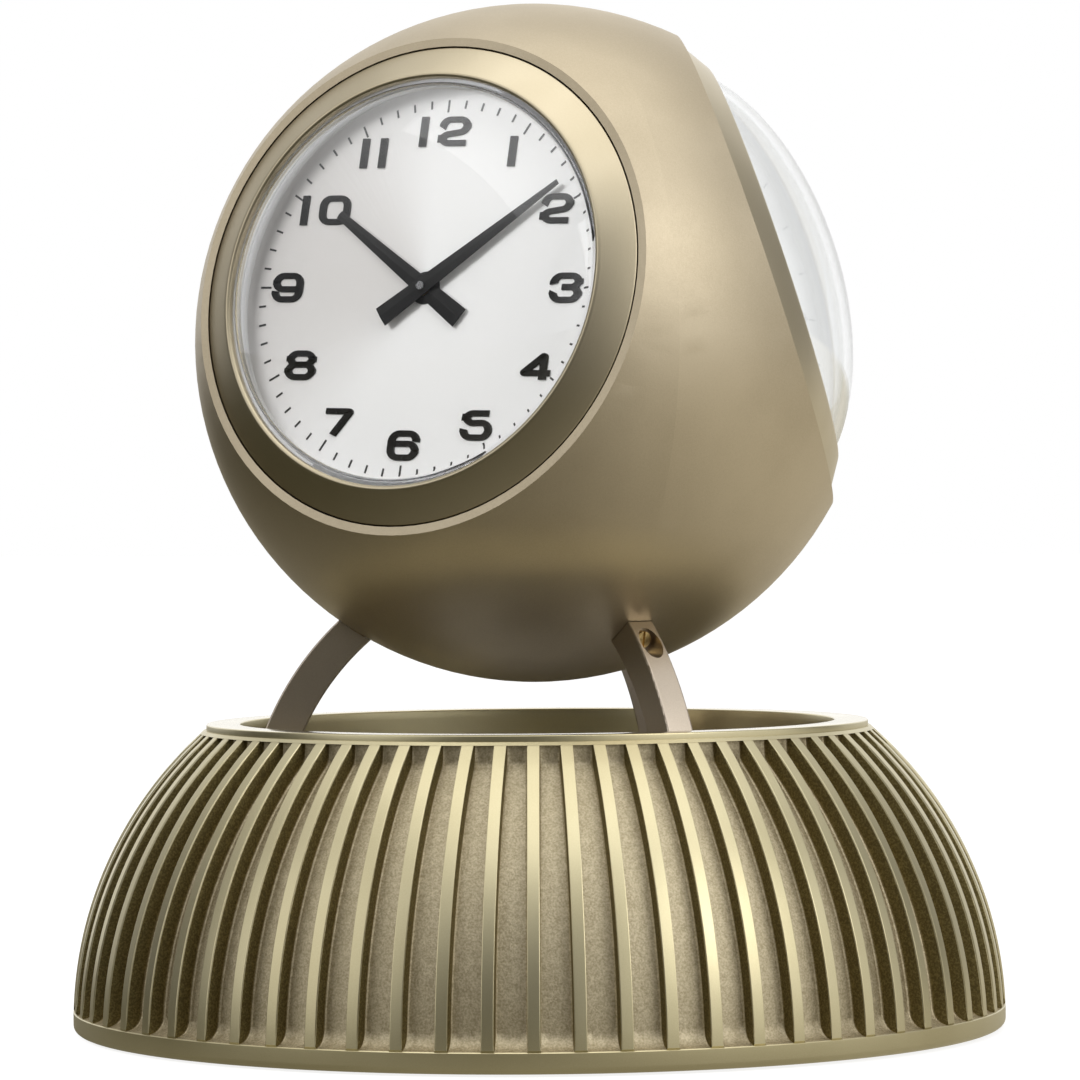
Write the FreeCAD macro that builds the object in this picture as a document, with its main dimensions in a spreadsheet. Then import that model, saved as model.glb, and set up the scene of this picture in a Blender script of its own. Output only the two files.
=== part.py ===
"""A ball clock on a ribbed bowl base: three flat-cut faces carry a clock, a calendar and a thermometer.

Row frame: millimetres, +Z up, origin at the centre of the underside, time face towards -Y.
Each face has its own frame: origin at the ball's centre, +Z out of the face, +Y up the face, so a
piece of a face is placed by its distance from the ball's centre.
"""
import FreeCAD, Part
import Sketcher
import math
import os
import re

from FreeCAD import Placement, Rotation, Vector

doc = FreeCAD.newDocument("BallClock")
sheet = doc.addObject("Spreadsheet::Sheet", "Sizes")

SIZES = {
    # Ball and its three seats
    "ball_radius": 72.0, "ball_centre": 145.3, "cavity_radius": 60.0,
    "face_distance": 49.2, "seat_radius": 50.8, "seat_depth": 10.0, "ledge_width": 3.8,
    "time_tilt": 12.85, "calendar_tilt": 18.05, "thermometer_tilt": 15.5,
    "seat_reach": 14.0,
    # Inserts
    "bezel_gap": 0.35, "bezel_rise": 3.9, "opening_radius": 44.35, "bead_width": 1.25, "bead_rise": 0.35,
    "shoulder_drop": 1.7, "bezel_wall": 5.25, "glass_gap": 0.1, "glass_rise": 15.0, "glass_wall": 1.8,
    "glass_shank": 1.3, "glass_flange": 1.5, "gasket_thick": 0.5, "gasket_width": 1.7,
    "seal_width": 2.0, "seal_depth": 1.0, "seal_drop": 4.0, "seal_proud": 0.25,
    "flange_ring_height": 2.7, "flange_ring_wall": 2.4, "dial_thick": 1.0, "back_plate_thick": 2.0,
    "retainer_thick": 2.0, "retainer_width": 4.0, "stack_gap": 0.1,
    # Legs
    "leg_width": 6.0, "leg_thick": 7.7, "leg_inset": 0.8, "leg_centre": -1.5, "leg_round": 0.4,
    "leg_level": 40.0, "leg_sweep": 55.0, "leg_gap": 0.1, "leg_top_hole": 41.6, "leg_hole_rise": 12.0,
    # Screws
    "screw_gap": 0.05, "ball_screw_shank": 1.25, "ball_screw_head": 1.7, "ball_screw_long": 15.5,
    "ball_head_depth": 4.5, "ball_head_thick": 1.5, "sink_wall": 0.6, "slot_width": 0.5, "slot_depth": 0.6,
    "head_gap": 0.1, "deck_screw_shank": 1.5, "deck_screw_head": 2.8, "deck_head_thick": 2.0,
    "deck_screw_grip": 3.5, "foot_screw_grip": 9.0,
    # Base casting
    "crest_level": 2.2, "rib_depth": 3.7, "rib_width": 2.5, "rib_count": 68, "rib_phase": 2.29,
    "rib_top": 63.1, "rib_root": 1.0, "ring_top": 63.75, "ring_proud": 0.05, "rib_proud": 0.5,
    "rim_height": 65.1, "rim_width": 7.1, "bowl_radius": 63.2, "rim_bevel": 0.3,
    "foot_radius": 98.9, "foot_band": 4.9, "foot_round": 1.5, "scoop_radius": 3.7,
    "underside": 0.5, "casting_wall": 6.5, "bowl_wall": 4.2, "plate_recess": 2.0, "plate_seat": 3.0,
    "deck_top": 19.0, "deck_thick": 5.0, "deck_gap": 0.2, "lug_width": 14.0, "lug_length": 11.0,
    "lug_thick": 5.0,
    # Bottom plate and felt
    "plate_thick": 1.5, "plate_gap": 0.2, "felt_inner": 58.0, "felt_margin": 1.5,
    # Time movement
    "case_wide": 56.0, "case_high": 52.0, "case_drop": 2.0, "case_deep": 17.5, "case_wall": 1.5,
    "bush_radius": 3.4, "bush_proud": 0.1, "run_gap": 0.05, "tube_radius": 1.9, "arbor_radius": 1.2,
    "nose_radius": 0.6, "train_pitch": 12.0, "pinion_teeth": 12, "minute_teeth": 36, "low_teeth": 10,
    "hour_teeth": 40, "wheel_thick": 1.3, "wheel_gap": 0.4, "wheel_arbor": 0.75,
    "battery_radius": 7.1, "battery_long": 50.3, "battery_drop": 19.0, "contact_thick": 1.2,
    "contact_size": 9.0, "knob_radius": 5.0, "knob_thick": 3.5, "knob_gap": 0.6,
    # Hands
    "hour_lift": 0.6, "hand_step": 0.8, "hand_edge": 0.2, "hand_ridge": 0.5, "dial_roll": 1.7,
    "minute_reach": 36.0, "minute_tail": 10.9, "minute_wide": 4.4, "minute_tip": 1.1,
    "hour_reach": 27.2, "hour_tail": 11.4, "hour_wide": 4.5, "hour_tip": 1.8, "hour_hub": 2.25,
    "hour_hub_thick": 0.3, "rest_minutes": 8.82, "rest_hours": 10,
    "hand_screw_head": 0.85, "hand_screw_thick": 0.4,
    # Calendar
    "gear_module": 0.5, "date_teeth": 62, "drive_teeth": 20, "weekday_teeth": 14, "month_teeth": 20,
    "sub_distance": 22.0, "bridge_drop": 5.7, "bridge_thick": 1.5, "bridge_radius": 33.0,
    "post_radius": 2.0, "post_circle": 29.5, "calendar_case": 46.0, "calendar_case_deep": 10.0,
    "date_reach": 33.0, "date_tail": 9.0, "sub_reach": 9.0, "sub_tail": 3.0, "pointer_wide": 2.6,
    "pointer_tip": 0.9, "pointer_hub": 2.2, "pointer_lift": 0.8, "pointer_thick": 0.5, "date_step": 1.0,
    "date_angle": 58.0, "weekday_angle": 103.0, "month_angle": 300.0,
    # Thermometer
    "temperature_reach": 35.0, "temperature_tail": 10.0, "coil_strip": 0.5, "coil_pitch": 1.6,
    "coil_turns": 6, "coil_start": 1.6, "coil_high": 3.0, "coil_gap": 0.4, "coil_anchor": 1.2,
    # Gear teeth, as shares of the tooth pitch or the module
    "tooth_fill": 0.40, "tip_fill": 0.22, "tooth_rise": 0.75, "tooth_fall": 1.1,
}

for row, (name, number) in enumerate(SIZES.items(), start=1):
    sheet.set("A%d" % row, name)
    sheet.set("B%d" % row, repr(number))
    sheet.setAlias("B%d" % row, name)
doc.recompute()

# Distances from the ball's centre along a face's axis, written in the sheet's names
SEAT = "(face_distance - seat_depth)"
CONE_TOP = "(face_distance + bezel_rise)"
SHOULDER = "(face_distance + shoulder_drop)"
GLASS_RADIUS = "(opening_radius - bead_width - glass_gap)"
BEZEL_RADIUS = "(seat_radius - bezel_gap)"
BORE_RADIUS = "(seat_radius - bezel_gap - bezel_wall)"
STACK_RADIUS = "(seat_radius - bezel_gap - bezel_wall - stack_gap)"
GLASS_FOOT = "(%s - glass_flange)" % SHOULDER
GASKET_FOOT = "(%s - gasket_thick)" % GLASS_FOOT
DIAL_FACE = "(%s - flange_ring_height)" % GASKET_FOOT
DIAL_BACK = "(%s - dial_thick)" % DIAL_FACE
PLATE_BACK = "(%s - back_plate_thick)" % DIAL_BACK
RETAINER_BACK = "(%s - retainer_thick)" % PLATE_BACK
CASE_BACK = "(%s - case_deep)" % PLATE_BACK
WHEEL_FACE = "(%s - case_wall - wheel_gap)" % PLATE_BACK
LOW_FACE = "(%s - wheel_thick - wheel_gap)" % WHEEL_FACE
BRIDGE_FACE = "(%s - bridge_drop)" % PLATE_BACK
CALENDAR_WHEELS = "(%s - wheel_gap)" % PLATE_BACK
HOUR_FACE = "(%s + hour_lift)" % DIAL_FACE
MINUTE_FACE = "(%s + hand_step)" % HOUR_FACE
POINTER_FACE = "(%s + pointer_lift)" % DIAL_FACE

# Radii and heights of the casting and of the legs that stand in it
RIM_RADIUS = "(bowl_radius + rim_width)"
CREST_OVERHANG = "(foot_radius - %s - rib_proud)" % RIM_RADIUS
CREST_RADIUS = "((%s^2 + (ring_top - crest_level)^2) / (2 * %s))" % (CREST_OVERHANG, CREST_OVERHANG)
CREST_CENTRE = "(foot_radius - %s)" % CREST_RADIUS
LEG_RADIUS = "(bowl_radius - leg_inset - leg_centre)"
BOLT_CIRCLE = "(bowl_radius - leg_inset - leg_thick / 2)"
LUG_LOW = "(deck_top - deck_thick - lug_thick)"


def linked(text):
    """Gives an expression with each of the sheet's names pointed at the sheet."""
    return re.sub(r"[a-z_]+", lambda word: "Sizes." + word[0] if word[0] in SIZES else word[0], str(text))


def value(text):
    """Works out an expression of the sheet's names as a plain number."""
    return float(sheet.evalExpression(str(text)))


def bind(thing, prop, text):
    thing.setExpression(prop, linked(text))


def face_frame(azimuth, tilt):
    """Ball-centred frame of a face that looks towards azimuth and up by tilt, both in degrees."""
    turn = Rotation(Vector(0, 0, 1), azimuth) * Rotation(Vector(1, 0, 0), 90 - value(tilt))
    return Placement(Vector(0, 0, value("ball_centre")), turn)


FACES = {
    "time": face_frame(0, "time_tilt"),
    "calendar": face_frame(120, "calendar_tilt"),
    "thermometer": face_frame(240, "thermometer_tilt"),
}
LEGS = {"leg_right": 60, "leg_rear": 180, "leg_left": 300}
SOLIDS = {}


def keep(label, thing, placement=None):
    """Names an object as a finished piece, and places it."""
    thing.Label = label
    if placement is not None:
        thing.Placement = placement
    SOLIDS[label] = thing
    return thing


def spun(frame, angle, x=0, y=0):
    """A frame moved sideways in its face by x and y, then turned clockwise, as hands turn."""
    return frame * Placement(Vector(value(x), value(y), 0), Rotation(Vector(0, 0, 1), -value(angle)))


def new_body(label, placement=None):
    body = doc.addObject("PartDesign::Body", label)
    return keep(label, body, placement)


def new_sketch(body, plane, offset=None):
    """A sketch on one of the body's own planes, moved along its normal by an expression."""
    sketch = body.newObject("Sketcher::SketchObject", body.Name + "Sketch")
    support = next(f for f in body.Origin.OriginFeatures if f.Role == plane)
    sketch.AttachmentSupport = [(support, "")]
    sketch.MapMode = "FlatFace"
    if offset is not None:
        bind(sketch, "AttachmentOffset.Base.z", offset)
    return sketch


def fix_coordinate(sketch, kind, axis, geometry, vertex, text):
    """Binds one coordinate of a vertex to an expression, or holds it on the axis where it is 0."""
    if str(text) == "0":
        sketch.addConstraint(Sketcher.Constraint("PointOnObject", geometry, vertex, axis))
        return
    number = sketch.addConstraint(Sketcher.Constraint(kind, -1, 1, geometry, vertex, value(text)))
    bind(sketch, "Constraints[%d]" % number, text)


def outline(sketch, points):
    """Draws a closed loop: (x, y) starts a line, (x, y, radius, turn) an arc, +1 anticlockwise."""
    here = [Vector(value(p[0]), value(p[1]), 0) for p in points]
    leaves, arrives = [], []
    for number, point in enumerate(points):
        start, end = here[number], here[(number + 1) % len(points)]
        if len(point) == 2:
            edge = sketch.addGeometry(Part.LineSegment(start, end))
            leaves.append((edge, 1))
            arrives.append((edge, 2))
            continue
        radius, turn = value(point[2]), point[3]
        chord = end - start
        side = Vector(-chord.y, chord.x, 0) * (turn / chord.Length)
        rise = math.sqrt(max(radius ** 2 - chord.Length ** 2 / 4, 0))
        centre = start + chord * 0.5 + side * rise
        first, second = (start, end) if turn > 0 else (end, start)
        angles = [math.atan2(p.y - centre.y, p.x - centre.x) for p in (first, second)]
        circle = Part.Circle(centre, Vector(0, 0, 1), radius)
        edge = sketch.addGeometry(Part.ArcOfCircle(circle, angles[0], angles[1]))
        leaves.append((edge, 1 if turn > 0 else 2))
        arrives.append((edge, 2 if turn > 0 else 1))
    for number, point in enumerate(points):
        before = arrives[number - 1]
        sketch.addConstraint(Sketcher.Constraint("Coincident", *before, *leaves[number]))
        fix_coordinate(sketch, "DistanceX", -2, *leaves[number], point[0])
        fix_coordinate(sketch, "DistanceY", -1, *leaves[number], point[1])
        if len(point) == 4:
            edge = leaves[number][0]
            mark = sketch.addConstraint(Sketcher.Constraint("Radius", edge, value(point[2])))
            bind(sketch, "Constraints[%d]" % mark, point[2])


def ring(sketch, x, y, radius):
    """Draws a circle whose centre and radius are expressions."""
    circle = Part.Circle(Vector(value(x), value(y), 0), Vector(0, 0, 1), value(radius))
    edge = sketch.addGeometry(circle)
    fix_coordinate(sketch, "DistanceX", -2, edge, 3, x)
    fix_coordinate(sketch, "DistanceY", -1, edge, 3, y)
    mark = sketch.addConstraint(Sketcher.Constraint("Radius", edge, value(radius)))
    bind(sketch, "Constraints[%d]" % mark, radius)


def turn_profile(body, points):
    """Revolves a section of (radius, height) points about the body's own axis."""
    sketch = new_sketch(body, "XZ_Plane")
    outline(sketch, points)
    feature = body.newObject("PartDesign::Revolution", body.Name + "Turn")
    feature.Profile = (sketch, [""])
    feature.ReferenceAxis = (sketch, ["V_Axis"])
    feature.Angle = 360
    body.Tip = feature
    return feature


def pad(body, sketch, thick, kind="PartDesign::Pad"):
    feature = body.newObject(kind, body.Name + "Pad")
    feature.Profile = (sketch, [""])
    bind(feature, "Length", thick)
    body.Tip = feature
    return feature


def around(body, feature, count):
    """Repeats a feature evenly about the body's own axis."""
    pattern = body.newObject("PartDesign::PolarPattern", body.Name + "Pattern")
    pattern.Originals = [feature]
    pattern.Axis = (next(f for f in body.Origin.OriginFeatures if f.Role == "Z_Axis"), [""])
    pattern.Angle = 360
    bind(pattern, "Occurrences", count)
    body.Tip = pattern
    return pattern


def turned(label, points, placement):
    body = new_body(label, placement)
    turn_profile(body, points)
    return body


def round_plate(label, radius, start, thick, placement, holes=()):
    """A flat disc with round holes, from start outwards."""
    body = new_body(label, placement)
    sketch = new_sketch(body, "XY_Plane", start)
    ring(sketch, 0, 0, radius)
    for x, y, hole in holes:
        ring(sketch, x, y, hole)
    pad(body, sketch, thick)
    return body


def primitive(kind, placement, **sizes):
    """A Part primitive in a frame, with its sizes bound to the sheet."""
    thing = doc.addObject("Part::" + kind, kind)
    for prop, text in sizes.items():
        bind(thing, prop, text)
    thing.Placement = placement
    return thing


def rod(frame, x, y, start, height, radius):
    """A cylinder along a frame's axis, from start outwards."""
    seat = frame * Placement(Vector(value(x), value(y), value(start)), Rotation())
    return primitive("Cylinder", seat, Radius=radius, Height=height)


def block(frame, x, y, start, wide, high, deep):
    """A box centred on x and y in a frame, from start outwards."""
    corner = Vector(value(x) - value(wide) / 2, value(y) - value(high) / 2, value(start))
    return primitive("Box", frame * Placement(corner, Rotation()), Length=wide, Width=high, Height=deep)


def joined(things):
    fuse = doc.addObject("Part::MultiFuse", "Joined")
    fuse.Shapes = things
    return fuse


def minus(base, tools):
    cut = doc.addObject("Part::Cut", "Minus")
    cut.Base = base
    cut.Tool = tools[0] if len(tools) == 1 else joined(tools)
    return cut


def grouped(label, shapes):
    """Identical separate solids that share one node."""
    group = doc.addObject("Part::Feature", label)
    group.Shape = Part.makeCompound(shapes)
    return keep(label, group)


def polar(radius, angle):
    """Expressions for a point at a radius and an angle in degrees."""
    return "(%s) * cos(%s)" % (radius, angle), "(%s) * sin(%s)" % (radius, angle)


def leg_frame(azimuth):
    """Frame whose +X points out from the axis along an azimuth."""
    return Placement(Vector(), Rotation(Vector(0, 0, 1), azimuth - 90))


def ball_screw_frame(azimuth):
    """Frame at the leg's counterbore, +Z into the ball, rising by the hole's own angle."""
    angle = math.radians(value("leg_top_hole"))
    mouth = Vector(value("leg_centre") + value(LEG_RADIUS) * math.cos(angle), 0,
                   value("leg_level") + value(LEG_RADIUS) * math.sin(angle))
    tip = Rotation(Vector(0, 1, 0), value("leg_hole_rise") - 90)
    return leg_frame(azimuth) * Placement(mouth, tip)


def foot_screw_frame(azimuth):
    """Upright frame on the bolt circle."""
    return leg_frame(azimuth) * Placement(Vector(value(BOLT_CIRCLE), 0, 0), Rotation())


def crest(level, inward="0"):
    """Radius of the ribs' crest at a level, or of the arc that lies inward of it."""
    return "%s + sqrt((%s - (%s))^2 - ((%s) - crest_level)^2)" % (CREST_CENTRE, CREST_RADIUS, inward, level)


def arc_height(radius, inward):
    """Level at which the arc that lies inward of the crest has a radius."""
    return "crest_level + sqrt((%s - (%s))^2 - (%s - %s)^2)" % (CREST_RADIUS, inward, radius, CREST_CENTRE)


def build_base():
    """Casting: a dome with radial ribs, a ring over them, a rim, a bowl, a cored underside and lugs.

    Each groove ends below in a scoop, an arc that runs out from its floor to the foot band.
    """
    # Each arc of the section has its own radius and the same centre as the ribs' crest
    body = new_body("base_shell")
    core = "rib_depth + casting_wall"
    bowl_back = "bowl_radius + bowl_wall"
    seat = "underside + plate_recess"
    scoop_level = "foot_band + scoop_radius"
    scoop_floor = crest(scoop_level, "rib_depth")
    turn_profile(body, [
        ("foot_radius - foot_round", "underside", "foot_round", 1),
        ("foot_radius", "underside + foot_round"),
        ("foot_radius", "foot_band"),
        (scoop_floor + " + scoop_radius", "foot_band", "scoop_radius", -1),
        (scoop_floor, scoop_level, CREST_RADIUS + " - rib_depth", 1),
        (RIM_RADIUS, arc_height(RIM_RADIUS, "rib_depth")),
        (RIM_RADIUS, "rib_top"),
        (crest("rib_top") + " + ring_proud", "rib_top", CREST_RADIUS, 1),
        (crest("ring_top") + " + ring_proud", "ring_top"),
        (RIM_RADIUS, "ring_top"),
        (RIM_RADIUS, "rim_height - rim_bevel"),
        (RIM_RADIUS + " - rim_bevel", "rim_height"),
        ("bowl_radius + rim_bevel", "rim_height"),
        ("bowl_radius", "rim_height - rim_bevel"),
        ("bowl_radius", seat),
        (bowl_back, seat),
        (bowl_back, arc_height(bowl_back, core), CREST_RADIUS + " - rib_depth - casting_wall", -1),
        (crest(seat, core), seat),
        (crest(seat, core) + " + plate_seat", seat),
        (crest(seat, core) + " + plate_seat", "underside"),
    ])
    sketch = new_sketch(body, "XZ_Plane", "-rib_width / 2")
    root = "rib_depth + rib_root"
    outline(sketch, [
        (crest("foot_band"), "foot_band", CREST_RADIUS, 1),
        (crest("rib_top"), "rib_top"),
        (RIM_RADIUS + " - rib_root", "rib_top"),
        (RIM_RADIUS + " - rib_root", arc_height("(%s - rib_root)" % RIM_RADIUS, root),
         CREST_RADIUS + " - rib_depth - rib_root", -1),
        (crest("foot_band", root), "foot_band"),
    ])
    around(body, pad(body, sketch, "rib_width"), "rib_count")
    body.Placement = Placement(Vector(), Rotation(Vector(0, 0, 1), 90 + value("rib_phase")))
    lugs, drills = [], []
    for azimuth in LEGS.values():
        lugs.append(block(leg_frame(azimuth - 60), "bowl_radius - (lug_length - rib_root) / 2", 0, LUG_LOW,
                          "lug_length + rib_root", "lug_width", "lug_thick"))
        drills.append(rod(foot_screw_frame(azimuth - 60), 0, 0, LUG_LOW, "lug_thick",
                          "deck_screw_shank + head_gap"))
    keep("base_shell", minus(joined([body] + lugs), drills))


def build_bottom():
    """Steel bottom plate in its recess, with a felt ring under it, and the deck that carries the legs."""
    seat = "underside + plate_recess"
    rim = crest(seat, "rib_depth + casting_wall") + " + plate_seat - plate_gap"
    upright = Placement()
    round_plate("base_plate", rim, seat + " - plate_thick", "plate_thick", upright)
    turned("foot_felt", [
        ("felt_inner", "0"), (rim + " - felt_margin", "0"),
        (rim + " - felt_margin", seat + " - plate_thick"), ("felt_inner", seat + " - plate_thick"),
    ], upright)
    holes = []
    for azimuth in LEGS.values():
        for turn, grip in ((0, "foot"), (-60, "deck")):
            spot = foot_screw_frame(azimuth + turn).Base
            holes.append((spot.x, spot.y))
    body = new_body("base_deck")
    sketch = new_sketch(body, "XY_Plane", "deck_top - deck_thick")
    ring(sketch, 0, 0, "bowl_radius - deck_gap")
    for x, y in holes:
        ring(sketch, x, y, "deck_screw_shank + screw_gap")
    pad(body, sketch, "deck_thick")


def slotted_screw(label, shank, long, head, thick):
    """A cheese-head screw along +Z with its head below the origin, slot outwards."""
    blank = turned(label, [
        ("0", "0 - " + thick), (head, "0 - " + thick), (head, 0 + 0.0), (shank, 0 + 0.0),
        (shank, long), ("0", long),
    ], Placement())
    slot = block(Placement(), 0, 0, "0 - %s" % thick, "2 * " + head, "slot_width", "slot_depth")
    return minus(blank, [slot])


def copies(screw, frames):
    """The shape of one screw, placed in each frame."""
    doc.recompute()
    made = []
    for frame in frames:
        shape = screw.Shape.copy()
        shape.Placement = frame * shape.Placement
        made.append(shape)
    return made


def round_long_edges(body, bar):
    """Rounds every edge of a leg's two side faces but the level ones at its foot."""
    doc.recompute()
    side = value("leg_width / 4")
    edges = ["Edge%d" % number for number, edge in enumerate(bar.Shape.Edges, start=1)
             if abs(edge.CenterOfMass.y) > side and edge.BoundBox.ZLength > side]
    feature = body.newObject("PartDesign::Fillet", body.Name + "Round")
    feature.Base = (bar, edges)
    bind(feature, "Radius", "leg_round")
    body.Tip = feature


def build_legs():
    """Three bars: upright at the deck, then a round sweep inwards up to the ball.

    The counterbore of the ball's screw leaves a thin wall on either side of the bar.
    """
    for label, azimuth in LEGS.items():
        body = new_body(label + "_bar", leg_frame(azimuth))
        sketch = new_sketch(body, "XZ_Plane", "-leg_width / 2")
        inner = "(%s - leg_thick)" % LEG_RADIUS
        outer_end = polar(LEG_RADIUS, "leg_sweep")
        inner_end = polar(inner, "leg_sweep")
        outline(sketch, [
            ("leg_centre + " + LEG_RADIUS, "deck_top"),
            ("leg_centre + " + LEG_RADIUS, "leg_level", LEG_RADIUS, 1),
            ("leg_centre + " + outer_end[0], "leg_level + " + outer_end[1]),
            ("leg_centre + " + inner_end[0], "leg_level + " + inner_end[1], inner, -1),
            ("leg_centre + " + inner, "leg_level"),
            ("leg_centre + " + inner, "deck_top"),
        ])
        round_long_edges(body, pad(body, sketch, "leg_width"))
        del SOLIDS[label + "_bar"]
        ball = primitive("Sphere", Placement(Vector(0, 0, value("ball_centre")), Rotation()),
                         Radius="ball_radius + leg_gap")
        mouth = ball_screw_frame(azimuth)
        drill = rod(mouth, 0, 0, "0", "2 * leg_thick", "ball_screw_shank + screw_gap")
        sink = rod(mouth, 0, 0, "-leg_thick", "leg_thick + ball_head_depth", "leg_width / 2 - sink_wall")
        tapped = rod(foot_screw_frame(azimuth), 0, 0, "deck_top - 1", "foot_screw_grip - deck_thick + 2",
                     "deck_screw_shank + screw_gap")
        keep(label, minus(body, [ball, drill, sink, tapped]))


def build_screws():
    """Slotted screws: three hold the ball, three the legs' feet, and three the deck."""
    ball_screw = slotted_screw("ball_screw", "ball_screw_shank", "ball_screw_long - ball_head_depth",
                               "ball_screw_head", "ball_head_thick")
    deck_screw = slotted_screw("deck_screw", "deck_screw_shank", "lug_thick + deck_screw_grip",
                               "deck_screw_head", "deck_head_thick")
    foot_screw = slotted_screw("foot_screw", "deck_screw_shank", "foot_screw_grip",
                               "deck_screw_head", "deck_head_thick")
    for blank in ("ball_screw", "deck_screw", "foot_screw"):
        del SOLIDS[blank]
    deck_under = value("deck_top") - value("deck_thick")
    lug_under = deck_under - value("lug_thick")
    sunk = Placement(Vector(0, 0, value("ball_head_depth")), Rotation())
    below = Placement(Vector(0, 0, deck_under), Rotation())
    deeper = Placement(Vector(0, 0, lug_under), Rotation())
    azimuths = list(LEGS.values())
    grouped("leg_ball_screws", copies(ball_screw, [ball_screw_frame(a) * sunk for a in azimuths]))
    grouped("leg_foot_screws", copies(foot_screw, [foot_screw_frame(a) * below for a in azimuths]))
    grouped("deck_screws", copies(deck_screw, [foot_screw_frame(a - 60) * deeper for a in azimuths]))


def build_ball():
    """Hollow ball: three flat cuts, each with a stepped seat, and three tapped holes for the legs."""
    centre = Placement(Vector(0, 0, value("ball_centre")), Rotation())
    tools = [primitive("Sphere", centre, Radius="cavity_radius")]
    for frame in FACES.values():
        tools.append(rod(frame, 0, 0, "face_distance", "ball_radius", "ball_radius"))
        tools.append(rod(frame, 0, 0, SEAT, "2 * seat_depth", "seat_radius"))
        tools.append(rod(frame, 0, 0, "%s - seat_reach" % SEAT, "2 * seat_reach", "seat_radius - ledge_width"))
    for azimuth in LEGS.values():
        tools.append(rod(ball_screw_frame(azimuth), 0, 0, "0", "ball_screw_long + 2 * screw_gap",
                         "ball_screw_shank + screw_gap"))
    keep("ball_shell", minus(primitive("Sphere", centre, Radius="ball_radius"), tools))


def build_insert(face, dial_holes, plate_holes):
    """The parts that every face has: bezel, crystal, gasket, flange ring, dial, plate and retainer."""
    frame = FACES[face]
    glass_hole = "opening_radius - bead_width"
    seal_top = "face_distance - seal_drop"
    seal_root = BEZEL_RADIUS + " - seal_depth"
    turned(face + "_bezel", [
        (BORE_RADIUS, SEAT), (BEZEL_RADIUS, SEAT),
        (BEZEL_RADIUS, seal_top + " - seal_width"), (seal_root, seal_top + " - seal_width"),
        (seal_root, seal_top), (BEZEL_RADIUS, seal_top),
        (BEZEL_RADIUS, "face_distance"), ("opening_radius", CONE_TOP),
        ("opening_radius - bead_width / 2", CONE_TOP + " + bead_rise"), (glass_hole, CONE_TOP),
        (glass_hole, SHOULDER), (BORE_RADIUS, SHOULDER),
    ], frame)
    foot = "(%s + glass_shank)" % SHOULDER
    outer = "(%s^2 + glass_rise^2) / (2 * glass_rise)" % GLASS_RADIUS
    inside = "(%s - glass_wall)" % GLASS_RADIUS
    inner = "(%s^2 + (glass_rise - glass_wall / 2)^2) / (2 * (glass_rise - glass_wall / 2))" % inside
    turned(face + "_crystal", [
        (STACK_RADIUS, GLASS_FOOT), (STACK_RADIUS, SHOULDER), (GLASS_RADIUS, SHOULDER),
        (GLASS_RADIUS, foot, outer, 1), ("0", foot + " + glass_rise"),
        ("0", foot + " + glass_rise - glass_wall", inner, -1), (inside, foot + " - glass_wall / 2"),
        (inside, GLASS_FOOT),
    ], frame)
    turned(face + "_gasket", ring_section(STACK_RADIUS, "gasket_width", GASKET_FOOT, GLASS_FOOT), frame)
    turned(face + "_flange_ring", ring_section(STACK_RADIUS, "flange_ring_wall", DIAL_FACE, GASKET_FOOT), frame)
    round_plate(face + "_dial", STACK_RADIUS, DIAL_BACK, "dial_thick", frame, dial_holes)
    round_plate(face + "_back_plate", STACK_RADIUS, PLATE_BACK, "back_plate_thick", frame, plate_holes)
    turned(face + "_retaining_ring", ring_section(STACK_RADIUS, "retainer_width", RETAINER_BACK, PLATE_BACK),
           frame)
    seal = turned(face + "_seal", ring_section(BEZEL_RADIUS + " + seal_proud", "seal_depth + seal_proud",
                                               seal_top + " - seal_width", seal_top), frame)
    del SOLIDS[face + "_seal"]
    return seal


def ring_section(radius, wall, low, high):
    """Section of a plain ring, from its outer radius, its wall and its two levels."""
    return [("%s - (%s)" % (radius, wall), low), (radius, low), (radius, high),
            ("%s - (%s)" % (radius, wall), high)]


def tapered_hand(label, frame, start, reach, tail, wide, tip, edge, ridge):
    """A bar that narrows from its tail to its tip, with a roof-shaped top."""
    body = new_body(label, frame)
    sections = []
    for offset, across, rise in (("-(%s)" % tail, wide, ridge), (reach, tip, "(%s + %s) / 2" % (edge, ridge))):
        sketch = new_sketch(body, "XZ_Plane", "-(%s)" % offset)
        outline(sketch, [
            ("-%s / 2" % across, start), ("%s / 2" % across, start),
            ("%s / 2" % across, "%s + %s" % (start, edge)), ("0", "%s + %s" % (start, rise)),
            ("-%s / 2" % across, "%s + %s" % (start, edge)),
        ])
        sections.append(sketch)
    loft = body.newObject("PartDesign::AdditiveLoft", body.Name + "Loft")
    loft.Profile = (sections[0], [""])
    loft.Sections = [(sections[1], [""])]
    loft.Ruled = True
    body.Tip = loft
    return body


def bored_hand(label, bar, frame, bore, start, hub=None, hub_thick=None):
    """A hand with its hole and, where it has one, a round hub under it."""
    del SOLIDS[bar.Label]
    solid = bar
    if hub is not None:
        solid = joined([bar, rod(frame, 0, 0, "%s - %s" % (start, hub_thick), hub_thick + " + hand_edge", hub)])
    drill = rod(frame, 0, 0, "%s - hand_step" % start, "3 * hand_step", bore)
    return keep(label, minus(solid, [drill]))


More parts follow.
